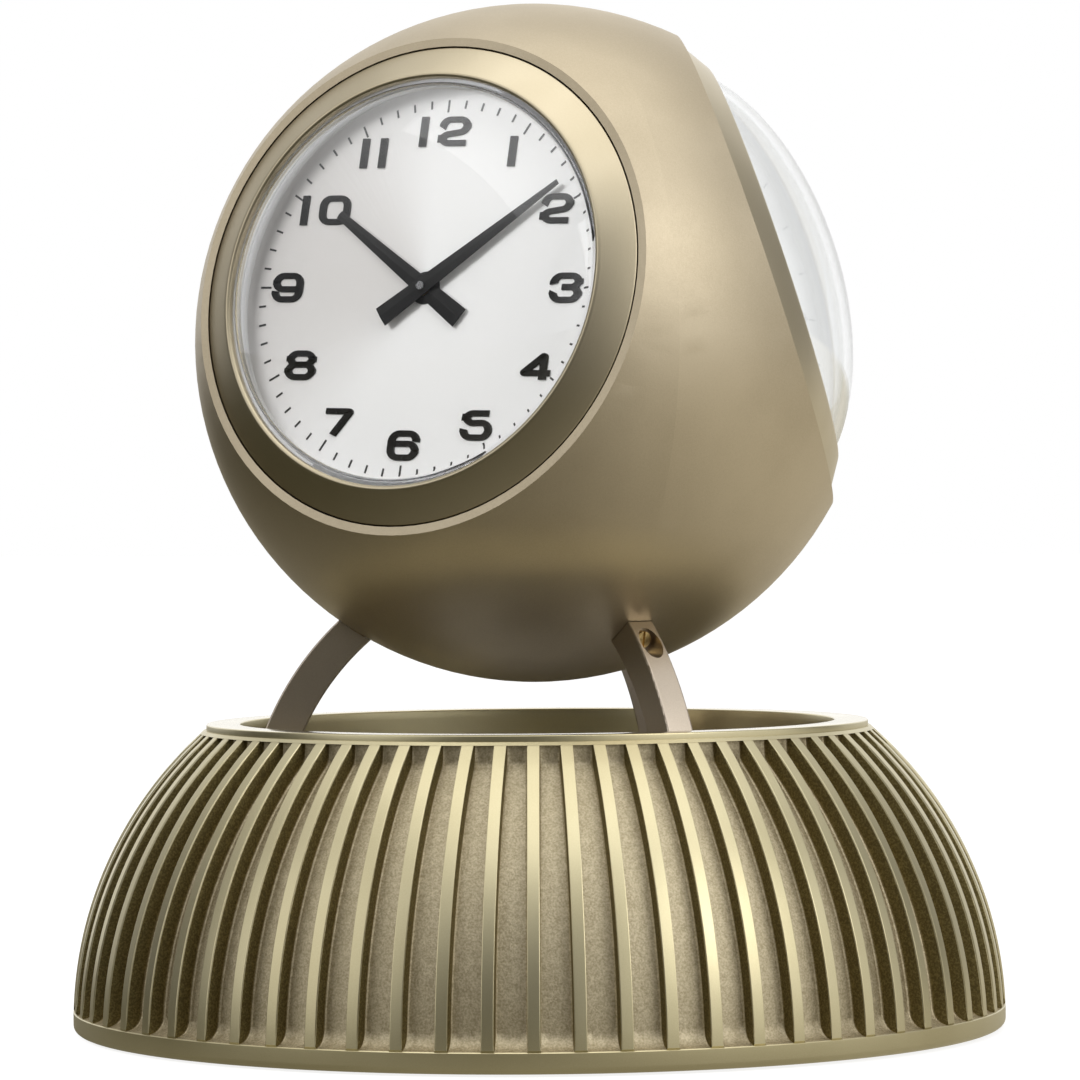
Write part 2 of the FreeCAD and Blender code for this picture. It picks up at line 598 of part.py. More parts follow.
def wheel(label, frame, section, teeth, module, face, thick, first=0.0):
    """A turned wheel with straight-flanked teeth; first is the angle of its first tooth."""
    body = new_body(label, frame * Placement(Vector(), Rotation(Vector(0, 0, 1), first)))
    turn_profile(body, section)
    pitch = "(%s * %s / 2)" % (module, teeth)
    low, tip = "(%s - tooth_fall * %s)" % (pitch, module), "(%s + tooth_rise * %s)" % (pitch, module)
    root_half = "(pi * %s * tooth_fill)" % module
    tip_half = "(pi * %s * tip_fill / 2)" % module
    sketch = new_sketch(body, "XY_Plane", "%s - %s" % (face, thick))
    outline(sketch, [
        ("%s - 0.3 * %s" % (low, module), "-%s * 0.8" % root_half), (pitch, "-%s / 2" % root_half),
        (tip, "-%s" % tip_half), (tip, tip_half), (pitch, "%s / 2" % root_half),
        ("%s - 0.3 * %s" % (low, module), "%s * 0.8" % root_half),
    ])
    around(body, pad(body, sketch, thick), teeth)
    return body


def meshed(first_angle, first_teeth, direction, next_teeth):
    """Angle of the next wheel's first tooth, so that its gap meets the first wheel's tooth."""
    share = (direction - first_angle) * first_teeth / 360.0
    return direction + 180 - (0.5 - share) * 360.0 / next_teeth


COVER_BACK = "(%s - case_wall)" % CASE_BACK
LOW_MODULE = "(2 * train_pitch / (pinion_teeth + minute_teeth))"
HIGH_MODULE = "(2 * train_pitch / (low_teeth + hour_teeth))"
ARBOR_HOLE = "arbor_radius + run_gap"
PIVOT_HOLE = "wheel_arbor + run_gap"


def root_radius(module, teeth):
    return "(%s * %s / 2 - tooth_fall * %s)" % (module, teeth, module)


def build_movement(frame):
    """Moulded case and cover, with a bush through the plate and dial, a battery and its contacts."""
    shell = block(frame, 0, "-case_drop", CASE_BACK, "case_wide", "case_high", "case_deep")
    inside = block(frame, 0, "-case_drop", COVER_BACK, "case_wide - 2 * case_wall",
                   "case_high - 2 * case_wall", "case_deep")
    bush = rod(frame, 0, 0, PLATE_BACK + " - case_wall",
               "case_wall + back_plate_thick + dial_thick + bush_proud", "bush_radius")
    bore = rod(frame, 0, 0, CASE_BACK, "2 * case_deep", "tube_radius + run_gap")
    pivot = rod(frame, 0, "train_pitch", PLATE_BACK + " - 2 * case_wall", "5 * case_wall / 3", PIVOT_HOLE)
    keep("movement_case", minus(joined([minus(shell, [inside]), bush]), [bore, pivot]))
    cover = block(frame, 0, "-case_drop", COVER_BACK, "case_wide", "case_high", "case_wall")
    middle = rod(frame, 0, 0, CASE_BACK + " - case_deep", "2 * case_deep", ARBOR_HOLE)
    edge = rod(frame, 0, "train_pitch", CASE_BACK + " - case_deep", "2 * case_deep", PIVOT_HOLE)
    keep("movement_cover", minus(cover, [middle, edge]))
    level = CASE_BACK + " + battery_radius + stack_gap"
    along = Rotation(Vector(0, 1, 0), 90)
    seat = Vector(-value("battery_long") / 2, -value("battery_drop"), value(level))
    nub = "battery_long - stack_gap * 10"
    turned("battery", [
        ("0", "0"), ("battery_radius", "0"), ("battery_radius", nub), ("battery_radius / 3", nub),
        ("battery_radius / 3", "battery_long"), ("0", "battery_long"),
    ], frame * Placement(seat, along))
    reach = "(case_wide / 2 - case_wall - contact_thick / 2)"
    leaves = [block(frame, sign + reach, "-battery_drop", CASE_BACK + " + stack_gap",
                    "contact_thick", "contact_size", "contact_size") for sign in ("", "-")]
    grouped("battery_contacts", copies(leaves[0], [Placement()]) + copies(leaves[1], [Placement()]))


def build_time_train(frame):
    """Cannon pinion, minute wheel and hour wheel, in mesh at rest, and the knob that sets them."""
    low_root, high_root = root_radius(LOW_MODULE, "pinion_teeth"), root_radius(HIGH_MODULE, "hour_teeth")
    low_back = "(%s - wheel_thick)" % LOW_FACE
    high_back = "(%s - wheel_thick)" % WHEEL_FACE
    screw_hole = "nose_radius / 2 + screw_gap"
    wheel("cannon_pinion", frame, [
        ("0", COVER_BACK), ("arbor_radius", COVER_BACK), ("arbor_radius", low_back), (low_root, low_back),
        (low_root, LOW_FACE), ("arbor_radius", LOW_FACE), ("arbor_radius", MINUTE_FACE),
        ("nose_radius", MINUTE_FACE), ("nose_radius", MINUTE_FACE + " + hand_edge"),
        (screw_hole, MINUTE_FACE + " + hand_edge"), (screw_hole, HOUR_FACE), ("0", HOUR_FACE),
    ], "pinion_teeth", LOW_MODULE, LOW_FACE, "wheel_thick", 90)
    minute_root, leaf_root = root_radius(LOW_MODULE, "minute_teeth"), root_radius(HIGH_MODULE, "low_teeth")
    knob_back = "(%s - knob_gap - knob_thick)" % COVER_BACK
    side = frame * Placement(Vector(0, value("train_pitch"), 0), Rotation())
    phase = meshed(90, SIZES["pinion_teeth"], 90, SIZES["minute_teeth"])
    leaves_phase = 270
    body = wheel("minute_disc", side, [
        ("0", knob_back), ("wheel_arbor", knob_back), ("wheel_arbor", low_back), (minute_root, low_back),
        (minute_root, LOW_FACE), ("wheel_arbor", LOW_FACE),
        ("wheel_arbor", PLATE_BACK + " - case_wall / 2"), ("0", PLATE_BACK + " - case_wall / 2"),
    ], "minute_teeth", LOW_MODULE, LOW_FACE, "wheel_thick", phase)
    leaf = wheel("minute_leaf", side, [
        ("wheel_arbor", LOW_FACE), (leaf_root, LOW_FACE), (leaf_root, WHEEL_FACE), ("wheel_arbor", WHEEL_FACE),
    ], "low_teeth", HIGH_MODULE, WHEEL_FACE, "wheel_thick", leaves_phase)
    del SOLIDS["minute_disc"], SOLIDS["minute_leaf"]
    keep("minute_wheel", joined([body, leaf]))
    turned("setting_knob", ring_section("knob_radius", "knob_radius - wheel_arbor - screw_gap / 2",
                                        knob_back, knob_back + " + knob_thick"), side)
    wheel("hour_wheel", frame, [
        (ARBOR_HOLE, high_back), (high_root, high_back), (high_root, WHEEL_FACE),
        ("tube_radius", WHEEL_FACE), ("tube_radius", HOUR_FACE + " + hand_edge"),
        (ARBOR_HOLE, HOUR_FACE + " + hand_edge"),
    ], "hour_teeth", HIGH_MODULE, WHEEL_FACE, "wheel_thick",
        meshed(leaves_phase, SIZES["low_teeth"], 270, SIZES["hour_teeth"]))


def build_time_hands(frame):
    """Roof-topped bar hands with long tails, and the slotted screw that holds them."""
    minutes, hours = SIZES["rest_minutes"], SIZES["rest_hours"]
    place = spun(frame, SIZES["dial_roll"] + 6 * minutes)
    bar = tapered_hand("minute_bar", place, MINUTE_FACE, "minute_reach", "minute_tail", "minute_wide",
                       "minute_tip", "hand_edge", "hand_ridge")
    bored_hand("minute_hand", bar, place, "nose_radius + screw_gap / 2", MINUTE_FACE)
    place = spun(frame, SIZES["dial_roll"] + 30 * hours + minutes / 2)
    bar = tapered_hand("hour_bar", place, HOUR_FACE, "hour_reach", "hour_tail", "hour_wide", "hour_tip",
                       "hand_edge", "hand_ridge")
    bored_hand("hour_hand", bar, place, "tube_radius + screw_gap / 2", HOUR_FACE, "hour_hub", "hour_hub_thick")
    top = MINUTE_FACE + " + hand_ridge"
    blank = turned("hand_screw_blank", [
        ("0", HOUR_FACE + " + hand_edge"), ("nose_radius / 2", HOUR_FACE + " + hand_edge"),
        ("nose_radius / 2", top), ("hand_screw_head", top),
        ("hand_screw_head", top + " + hand_screw_thick"), ("0", top + " + hand_screw_thick"),
    ], frame)
    del SOLIDS["hand_screw_blank"]
    cross = spun(frame, 35)
    slot = block(cross, 0, 0, top + " + hand_screw_thick / 2", "3 * hand_screw_head", "slot_width", "slot_depth")
    keep("hand_screw", minus(blank, [slot]))


def bridge(label, frame, holes, extra=()):
    """A round plate on three posts behind the back plate, with bearing holes."""
    back = "(%s - bridge_thick)" % BRIDGE_FACE
    things = [rod(frame, 0, 0, back, "bridge_thick", "bridge_radius")]
    for angle in (90, 225, 315):
        x, y = polar("post_circle", angle)
        things.append(rod(frame, x, y, back, "bridge_thick + bridge_drop", "post_radius"))
    drills = [rod(frame, x, y, back + " - bridge_thick", "3 * bridge_thick", hole) for x, y, hole in holes]
    return keep(label, minus(joined(things + list(extra)), drills))


def pointer(label, frame, angle, start, reach, tail, x=0, y=0):
    """A slim pointer with a round hub, bored for its arbor."""
    place = spun(frame, angle, x, y)
    bar = tapered_hand(label + "_bar", place, start, reach, tail, "pointer_wide", "pointer_tip",
                       "hand_edge", "pointer_thick")
    bored_hand(label, bar, place, "arbor_radius + screw_gap / 2", start, "pointer_hub", "hour_hub_thick")


def arbor_section(low, top, disc_radius, disc_face):
    """Section of a plain arbor that carries one disc."""
    back = disc_face + " - wheel_thick"
    return [("0", low), ("arbor_radius", low), ("arbor_radius", back), (disc_radius, back),
            (disc_radius, disc_face), ("arbor_radius", disc_face), ("arbor_radius", top), ("0", top)]


def drive_spot():
    """Place and angle of the day drive wheel: in mesh with the date wheel and the weekday wheel."""
    near = "(gear_module * (date_teeth + drive_teeth) / 2)"
    far = "(gear_module * (drive_teeth + weekday_teeth) / 2)"
    cosine = value("(sub_distance^2 + %s^2 - %s^2) / (2 * sub_distance * %s)" % (near, far, near))
    angle = 180 - math.degrees(math.acos(cosine))
    x, y = value(near) * math.cos(math.radians(angle)), value(near) * math.sin(math.radians(angle))
    onward = math.degrees(math.atan2(-y, -value("sub_distance") - x))
    return x, y, angle, onward


def build_calendar(frame):
    """Date, weekday and month hands on wheels between the back plate and a bridge."""
    x, y, angle, onward = drive_spot()
    back = "(%s - bridge_thick + stack_gap)" % BRIDGE_FACE
    start = SIZES["date_teeth"], SIZES["drive_teeth"], SIZES["weekday_teeth"]
    drive_phase = meshed(angle, start[0], angle, start[1])
    weekday_phase = meshed(drive_phase, start[1], onward, start[2])
    date_face = "(%s + date_step)" % POINTER_FACE
    arbors = (
        ("date_wheel", 0, 0, "date_teeth", angle, date_face + " + hand_edge", back),
        ("weekday_wheel", "-sub_distance", 0, "weekday_teeth", weekday_phase,
         POINTER_FACE + " + hand_edge", back),
        ("month_wheel", "sub_distance", 0, "month_teeth", 0, POINTER_FACE + " + hand_edge", back),
        ("day_drive_wheel", x, y, "drive_teeth", drive_phase, PLATE_BACK + " + back_plate_thick / 2",
         back + " - 2 * bridge_thick"),
    )
    for label, dx, dy, teeth, phase, top, low in arbors:
        place = frame * Placement(Vector(value(dx), value(dy), 0), Rotation())
        section = arbor_section(low, top, root_radius("gear_module", teeth), CALENDAR_WHEELS)
        wheel(label, place, section, teeth, "gear_module", CALENDAR_WHEELS, "wheel_thick", phase)
    pointer("date_hand", frame, "date_angle", date_face, "date_reach", "date_tail")
    pointer("weekday_hand", frame, "weekday_angle", POINTER_FACE, "sub_reach", "sub_tail", "-sub_distance")
    pointer("month_hand", frame, "month_angle", POINTER_FACE, "sub_reach", "sub_tail", "sub_distance")
    spots = [(0, 0), ("-sub_distance", 0), ("sub_distance", 0), (x, y)]
    bridge("calendar_bridge", frame, [(a, b, ARBOR_HOLE) for a, b in spots])
    case = block(frame, 0, 0, "%s - bridge_thick - calendar_case_deep" % BRIDGE_FACE, "calendar_case",
                 "calendar_case", "calendar_case_deep")
    socket = rod(frame, x, y, "%s - 4 * bridge_thick" % BRIDGE_FACE, "4 * bridge_thick", ARBOR_HOLE)
    keep("calendar_movement", minus(case, [socket]))


def spiral_strip(start, pitch, turns, strip, high):
    """A flat strip wound as half circles about two centres half a pitch apart."""
    step = pitch / 2

    def bank(offset):
        edges = []
        for half in range(2 * turns):
            radius = start + half * step + offset
            centre = Vector(0 if half % 2 == 0 else step, 0, 0)
            side = 1 if half % 2 == 0 else -1
            ends = Vector(side * radius, 0, 0) + centre, Vector(-side * radius, 0, 0) + centre
            edges.append(Part.Arc(ends[0], Vector(0, side * radius, 0) + centre, ends[1]).toShape())
        return edges

    inner, outer = bank(-strip / 2), bank(strip / 2)
    near = Part.makeLine(Vector(start - strip / 2, 0, 0), Vector(start + strip / 2, 0, 0))
    end = start + turns * pitch
    far = Part.makeLine(Vector(end - strip / 2, 0, 0), Vector(end + strip / 2, 0, 0))
    wire = Part.Wire(Part.__sortEdges__(inner + outer + [near, far]))
    return Part.Face(wire).extrude(Vector(0, 0, high))


def build_thermometer(frame):
    """A bimetal coil on a bridge turns an arbor with a pointer."""
    back = "(%s - bridge_thick)" % BRIDGE_FACE
    turned("temperature_arbor", [
        ("0", back), ("arbor_radius", back), ("arbor_radius", POINTER_FACE + " + hand_edge"),
        ("0", POINTER_FACE + " + hand_edge"),
    ], frame)
    pointer("temperature_pointer", frame, 0, POINTER_FACE, "temperature_reach", "temperature_tail")
    coil = doc.addObject("Part::Feature", "bimetal_coil")
    coil.Shape = spiral_strip(value("coil_start"), value("coil_pitch"), int(SIZES["coil_turns"]),
                              value("coil_strip"), value("coil_high"))
    keep("bimetal_coil", coil, frame * Placement(Vector(0, 0, value(BRIDGE_FACE + " + coil_gap")), Rotation()))
    reach = "(coil_start + coil_turns * coil_pitch + coil_strip / 2 + coil_anchor + screw_gap)"
    anchor = rod(frame, reach, 0, back, "bridge_thick + coil_gap + coil_high", "coil_anchor")
    bridge("coil_bridge", frame, [(0, 0, ARBOR_HOLE)], [anchor])


def write_parts():
    """Checks every object and piece, then writes one file for each."""
    doc.recompute()
    broken = [thing.Name for thing in doc.Objects if {"Invalid", "Error"} & set(thing.State)]
    if broken:
        raise RuntimeError("failed objects: " + ", ".join(broken))
    os.makedirs("parts", exist_ok=True)
    for label, thing in SOLIDS.items():
        shape = thing.Shape
        if shape.isNull() or not shape.isValid() or not shape.Solids:
            raise RuntimeError("bad shape: " + label)
        shape.exportStep("parts/%s.step" % label)
    print("%d pieces written" % len(SOLIDS))


build_base()
build_bottom()
build_legs()
build_screws()
build_ball()
middle = [(0, 0, ARBOR_HOLE)]
pair = [("-sub_distance", 0, ARBOR_HOLE), ("sub_distance", 0, ARBOR_HOLE)]
drive_hole = [drive_spot()[:2] + (ARBOR_HOLE,)]
bush_hole = [(0, 0, "bush_radius + stack_gap")]
seals = [build_insert("time", bush_hole, bush_hole),
         build_insert("calendar", middle + pair, middle + pair + drive_hole),
         build_insert("thermometer", middle, middle)]
grouped("bezel_seals", [copies(seal, [Placement()])[0] for seal in seals])
build_movement(FACES["time"])
build_time_train(FACES["time"])
build_time_hands(FACES["time"])
build_calendar(FACES["calendar"])
build_thermometer(FACES["thermometer"])
write_parts()
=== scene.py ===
"""Looks of the ball clock: casting, bezels, crystals, dials with their figures, and every finish.

Lengths are millimetres until a mesh is made; meshes are metres. Each face has its own frame: origin at
the ball's centre, +Z out of the face and +Y up the face, so a level is a distance from that centre.
"""

import math

import bmesh
import bpy
import numpy as np
from mathutils import Euler, Matrix, Vector


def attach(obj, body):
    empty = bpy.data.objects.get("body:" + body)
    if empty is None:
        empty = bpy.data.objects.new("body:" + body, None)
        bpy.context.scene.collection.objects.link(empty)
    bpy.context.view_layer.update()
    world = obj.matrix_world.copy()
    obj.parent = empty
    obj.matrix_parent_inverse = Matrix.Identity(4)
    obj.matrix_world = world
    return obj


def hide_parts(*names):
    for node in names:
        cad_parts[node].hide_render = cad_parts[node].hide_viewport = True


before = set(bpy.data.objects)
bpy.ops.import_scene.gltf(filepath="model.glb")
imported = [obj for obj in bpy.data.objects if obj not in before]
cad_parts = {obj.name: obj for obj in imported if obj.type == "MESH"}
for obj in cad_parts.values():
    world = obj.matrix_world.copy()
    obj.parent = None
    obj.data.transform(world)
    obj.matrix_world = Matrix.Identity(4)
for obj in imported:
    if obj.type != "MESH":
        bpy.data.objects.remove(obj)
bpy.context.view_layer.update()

MM = 0.001
BODY = "clock"
TURNED_STEPS = 256

# Ball and faces
BALL_CENTRE = 145.3
FACES = {"time": (0.0, 12.85), "calendar": (120.0, 18.05), "thermometer": (240.0, 15.5)}
FACE_LEVEL = 49.2
SEAT_LEVEL = 39.2
DIAL_LEVEL = 46.2
BEZEL_RADIUS, BORE_RADIUS, OPENING_RADIUS = 50.45, 45.2, 44.35
BEAD_WIDTH, BEAD_RISE, CONE_RISE, SHOULDER_LEVEL = 1.25, 0.35, 3.9, 50.9
SEAL_TOP, SEAL_WIDTH, SEAL_DEPTH = 45.2, 2.0, 1.0
GLASS_RADIUS, GLASS_FLANGE_RADIUS, GLASS_FOOT = 43.0, 45.1, 49.4
DOME_LEVEL, DOME_REACH, DOME_RISE, GLASS_WALL = 39.1, 48.6, 28.1, 1.8

# Base casting
RIB_COUNT, RIB_WIDTH, RIB_DEPTH, RIB_PHASE = 68, 2.5, 3.7, 182.29
CREST_RADIUS, CREST_CENTRE, CREST_LEVEL = 81.459, 17.441, 2.2
RIB_TOP, RING_TOP, RING_PROUD = 63.1, 63.75, 0.05
RIM_HEIGHT, RIM_RADIUS, RIM_BEVEL = 65.1, 70.3, 0.3
BOWL_RADIUS, BOWL_BACK = 63.2, 67.4
FOOT_RADIUS, FOOT_BAND, FOOT_ROUND, UNDERSIDE = 98.9, 4.9, 1.5, 0.5
CASTING_WALL, PLATE_SEAT_LEVEL, PLATE_SEAT = 6.5, 2.5, 3.0
SCOOP_RADIUS, WALL_FILLET, FLOOR_START = 3.7, 2.0, 3.5
RIB_LIFT, FOOT_BEVEL, NOTCH_FLOOR, NOTCH_CREST, NOTCH_STEP = 0.3, 0.2, 0.25, 0.28, 0.03
BOWL_ROWS = (22.0, 45.0)
LUG = {"inner": 52.2, "outer": 64.2, "wide": 14.0, "low": 9.0, "high": 14.0, "hole": 1.6, "circle": 58.55}

# Dial figures: upright boxes with an elliptical pen, and everything turned by the dial's own roll
DIAL_ROLL = 1.7
FIGURE_RADIUS, FIGURE_HIGH, FIGURE_WIDE = 33.0, 6.3, 7.6
PEN_WIDE, PEN_HIGH, FIGURE_GAP = 1.8, 1.3, 2.6
FIGURE_RELIEF = 0.4
FIGURE_SHIFT = {8: 1.4, 10: 2.3}

# Tracks of bars as (inner radius, outer radius, width), and the layouts of the other two dials
MINUTE_TRACK, HOUR_TRACK = (38.0, 39.7, 0.42), (37.1, 38.1, 0.42)
DAY_RADIUS, DAY_HIGH, DAY_RELIEF, DAY_TRACK = 37.4, 2.6, 0.15, (40.2, 41.6, 0.3)
SMALL_DIALS = ((-22.0, 7), (22.0, 12))
SMALL_RADIUS, SMALL_HIGH, SMALL_RELIEF, SMALL_TRACK = 9.6, 1.9, 0.12, (11.2, 12.0, 0.22)
COLDEST, WARMEST, WARMTH_AT_TOP, TURN_PER_DEGREE = -10, 50, 20, 4
WARMTH_RADIUS, WARMTH_HIGH, WARMTH_RELIEF = 31.5, 4.2, 0.3
DEGREE_TRACK, TEN_DEGREE_TRACK = (39.0, 41.0, 0.28), (36.6, 39.1, 0.5)

# Camera, fitted to the photograph
CAMERA_AZIMUTH, CAMERA_DISTANCE, CAMERA_HEIGHT = 29.41, 1080.0, 110.54
CAMERA_YAW, CAMERA_PITCH, CAMERA_ROLL = 0.0022155, -0.0063402, -0.0083749
CAMERA_LENS, CAMERA_SENSOR = 169.08, 36.0
FOCAL_PIXELS, CENTRE_PIXEL, FRAME_MIDDLE = 5072.5, (546.9, 539.0), 540.0


def face_matrix(face):
    """Turn and place of a face's frame, in millimetres."""
    azimuth, tilt = FACES[face]
    turn = Euler((math.radians(90 - tilt), 0, math.radians(azimuth))).to_matrix().to_4x4()
    return Matrix.Translation((0, 0, BALL_CENTRE)) @ turn


def placed(points, matrix):
    """Points, as an array that ends in x, y, z, carried by a matrix."""
    table = np.array(matrix)
    return points @ table[:3, :3].T + table[:3, 3]


class Skin:
    """Patches of points and quads that together make one mesh."""

    def __init__(self):
        self.points, self.quads, self.count = [], [], 0

    def patch(self, grid, rows_close=False, columns_close=False):
        """Joins a grid of points (rows, columns, 3) by quads; either way of the grid may close on itself."""
        rows, columns = grid.shape[:2]
        index = self.count + np.arange(rows * columns).reshape(rows, columns)
        if columns_close:
            index = np.concatenate([index, index[:, :1]], axis=1)
        if rows_close:
            index = np.concatenate([index, index[:1]], axis=0)
        corners = index[:-1, :-1], index[:-1, 1:], index[1:, 1:], index[1:, :-1]
        self.quads.append(np.stack(corners, axis=-1).reshape(-1, 4))
        self.points.append(grid.reshape(-1, 3))
        self.count += rows * columns

    def boxes(self, corners):
        """Adds many boxes at once from an array (boxes, 8, 3): four corners below, then four above."""
        sides = np.array([(0, 3, 2, 1), (4, 5, 6, 7), (0, 1, 5, 4), (1, 2, 6, 5), (2, 3, 7, 6), (3, 0, 4, 7)])
        starts = self.count + 8 * np.arange(len(corners))
        self.quads.append((starts[:, None, None] + sides).reshape(-1, 4))
        self.points.append(corners.reshape(-1, 3))
        self.count += 8 * len(corners)


def make_piece(name, skin, finish, replaces=(), sharp=32.0, marks=None, body=BODY):
    """Makes the skin's mesh, merges its seams, turns its faces outwards and hands it to a body."""
    points, quads = np.concatenate(skin.points) * MM, np.concatenate(skin.quads)
    mesh = bpy.data.meshes.new(name)
    mesh.vertices.add(len(points))
    mesh.vertices.foreach_set("co", points.ravel())
    mesh.loops.add(quads.size)
    mesh.loops.foreach_set("vertex_index", quads.ravel())
    mesh.polygons.add(len(quads))
    mesh.polygons.foreach_set("loop_start", np.arange(0, quads.size, 4))
    mesh.update(calc_edges=True)
    for label, numbers in (marks or {}).items():
        mesh.attributes.new(label, "FLOAT", "POINT").data.foreach_set("value", numbers.ravel())
    work = bmesh.new()
    work.from_mesh(mesh)
    bmesh.ops.remove_doubles(work, verts=work.verts, dist=1e-7)
    bmesh.ops.recalc_face_normals(work, faces=work.faces)
    work.to_mesh(mesh)
    work.free()
    mesh.polygons.foreach_set("use_smooth", np.ones(len(mesh.polygons), dtype=bool))
    mesh.set_sharp_from_angle(angle=math.radians(sharp))
    mesh.materials.append(finish)
    piece = bpy.data.objects.new(name, mesh)
    bpy.context.scene.collection.objects.link(piece)
    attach(piece, body)
    if replaces:
        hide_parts(*replaces)
    return piece


def rounded(corners, closed=True, spacing=22.5):
    """A line through corners (x, y, radius), each turned by an arc of its radius, as an array of points."""
    corners = [np.array(c, dtype=float) for c in corners]
    pieces = []
    last = len(corners)
    for number, corner in enumerate(corners):
        here, radius = corner[:2], corner[2]
        if radius == 0 or (not closed and number in (0, last - 1)):
            pieces.append(here[None])
            continue
        back, ahead = corners[number - 1][:2] - here, corners[(number + 1) % last][:2] - here
        back, ahead = back / np.hypot(*back), ahead / np.hypot(*ahead)
        half = math.acos(np.clip(back @ ahead, -1, 1)) / 2
        reach = radius / math.tan(half)
        middle = here + (back + ahead) / np.hypot(*(back + ahead)) * radius / math.sin(half)
        start = here + back * reach - middle
        turn = math.pi - 2 * half
        side = np.sign(back[1] * ahead[0] - back[0] * ahead[1])
        steps = max(2, int(round(turn / math.radians(spacing)))) + 1
        angle = side * np.linspace(0, turn, steps)
        cos, sin = np.cos(angle), np.sin(angle)
        swung = start[0] * cos - start[1] * sin, start[0] * sin + start[1] * cos
        pieces.append(middle + np.stack(swung, axis=-1))
    return np.concatenate(pieces)


def lathe(profile, matrix):
    """Turns a profile of (radius, level) points about a frame's own axis: a grid of points."""
    angle = np.linspace(0, 2 * math.pi, TURNED_STEPS, endpoint=False)
    radius, level = profile[:, :1], profile[:, 1:]
    grid = np.stack([radius * np.cos(angle), radius * np.sin(angle), level + 0 * angle], axis=-1)
    return placed(grid, matrix)


class Field:
    """A socket of a material under construction; Python's operators add the Math nodes."""

    def __init__(self, finish, socket):
        self.finish, self.socket = finish, socket

    def math(self, operation, *others):
        settings = {"operation": operation}
        return self.finish.node("ShaderNodeMath", settings, dict(enumerate((self,) + others)))

    def __add__(self, other):
        return self.math("ADD", other)

    def __sub__(self, other):
        return self.math("SUBTRACT", other)

    def __mul__(self, other):
        return self.math("MULTIPLY", other)

    def __truediv__(self, other):
        return self.math("DIVIDE", other)

    def __rsub__(self, other):
        return (self * -1.0) + other

    __radd__ = __add__

    def between(self, low, high):
        """Rises smoothly from 0 at low to 1 at high."""
        settings = {"interpolation_type": "SMOOTHSTEP"}
        inputs = {"Value": self, "From Min": low, "From Max": high}
        return self.finish.node("ShaderNodeMapRange", settings, inputs)


class Shading:
    """A node tree under construction."""

    def __init__(self, holder):
        holder.use_nodes = True
        self.tree = holder.node_tree
        self.tree.nodes.clear()

    def node(self, kind, settings=None, inputs=None, output=0):
        """Adds one node: its settings first, then its sockets' values or links."""
        made = self.tree.nodes.new(kind)
        for key, setting in (settings or {}).items():
            setattr(made, key, setting)
        for key, given in (inputs or {}).items():
            if isinstance(given, Field):
                self.tree.links.new(given.socket, made.inputs[key])
            else:
                made.inputs[key].default_value = given
        return Field(self, made.outputs[output])

    def place(self):
        return self.node("ShaderNodeTexCoord", output="Object")

    def along(self, vector, direction):
        """How far a vector reaches along a direction."""
        inputs = {0: vector, 1: Vector(direction).normalized()}
        return self.node("ShaderNodeVectorMath", {"operation": "DOT_PRODUCT"}, inputs, output="Value")

    def blend(self, factor, first, second):
        return self.node("ShaderNodeMixShader", inputs={0: factor, 1: first, 2: second})

    def ray(self, *kinds):
        """1 for rays of any of these kinds."""
        first, *others = [self.node("ShaderNodeLightPath", output="Is %s Ray" % kind) for kind in kinds]
        for other in others:
            first = first.math("MAXIMUM", other)
        return first

    def face_place(self, face):
        """Place in a face's own frame, in metres."""
        azimuth, tilt = FACES[face]
        inputs = {"Vector": self.place(), "Location": (0, 0, BALL_CENTRE * MM),
                  "Rotation": (math.radians(90 - tilt), 0, math.radians(azimuth))}
        return self.node("ShaderNodeMapping", {"vector_type": "TEXTURE"}, inputs)

    def split(self, vector):
        made = self.node("ShaderNodeSeparateXYZ", inputs={0: vector})
        return [Field(self, socket) for socket in made.socket.node.outputs]

    def joined(self, x, y, z):
        return self.node("ShaderNodeCombineXYZ", inputs={0: x, 1: y, 2: z})

    def noise(self, vector, scale, detail=2.0, roughness=0.5):
        inputs = {"Vector": vector, "Scale": scale, "Detail": detail, "Roughness": roughness}
        return self.node("ShaderNodeTexNoise", inputs=inputs)

    def lines(self, value, scale, detail=3.0):
        """Noise along one value only: scratches or lathe marks that run across it."""
        inputs = {"W": value, "Scale": scale, "Detail": detail}
        return self.node("ShaderNodeTexNoise", {"noise_dimensions": "1D"}, inputs)

    def mark(self, name):
        return self.node("ShaderNodeAttribute", {"attribute_name": name}, output="Fac")

    def mix(self, factor, first, second):
        first, second = (c if isinstance(c, Field) else (*c, 1.0) for c in (first, second))
        settings = {"data_type": "RGBA"}
        return self.node("ShaderNodeMix", settings, {0: factor, 6: first, 7: second}, output=2)

    def polar(self, face):
        """Distance from the face's axis, and the unit direction away from it, as two values."""
        x, y, _ = self.split(self.face_place(face))
        radius = (x * x + y * y).math("SQRT").math("MAXIMUM", 1e-5)
        return radius, x / radius, y / radius

    def height(self, value, distance, strength=1.0):
        """The normal of a surface that rises by distance, in metres, where the value is 1."""
        inputs = {"Height": value, "Distance": distance, "Strength": strength}
        return self.node("ShaderNodeBump", inputs=inputs)

    def close(self, shader, kind="ShaderNodeOutputMaterial"):
        self.tree.links.new(shader.socket, self.tree.nodes.new(kind).inputs["Surface"])


class Finish(Shading):
    """A material under construction."""

    def __init__(self, name):
        self.material = bpy.data.materials.new(name)
        super().__init__(self.material)

    def done(self, colour, roughness, metallic=0.0, normal=None, **constants):
        """Closes the material with one Principled shader."""
        inputs = {"Base Color": colour if isinstance(colour, Field) else (*colour, 1.0),
                  "Roughness": roughness, "Metallic": metallic}
        if normal is not None:
            inputs["Normal"] = normal
        inputs.update({key.replace("_", " "): value for key, value in constants.items()})
        self.close(self.node("ShaderNodeBsdfPrincipled", inputs=inputs))
        return self.material


# Finishes

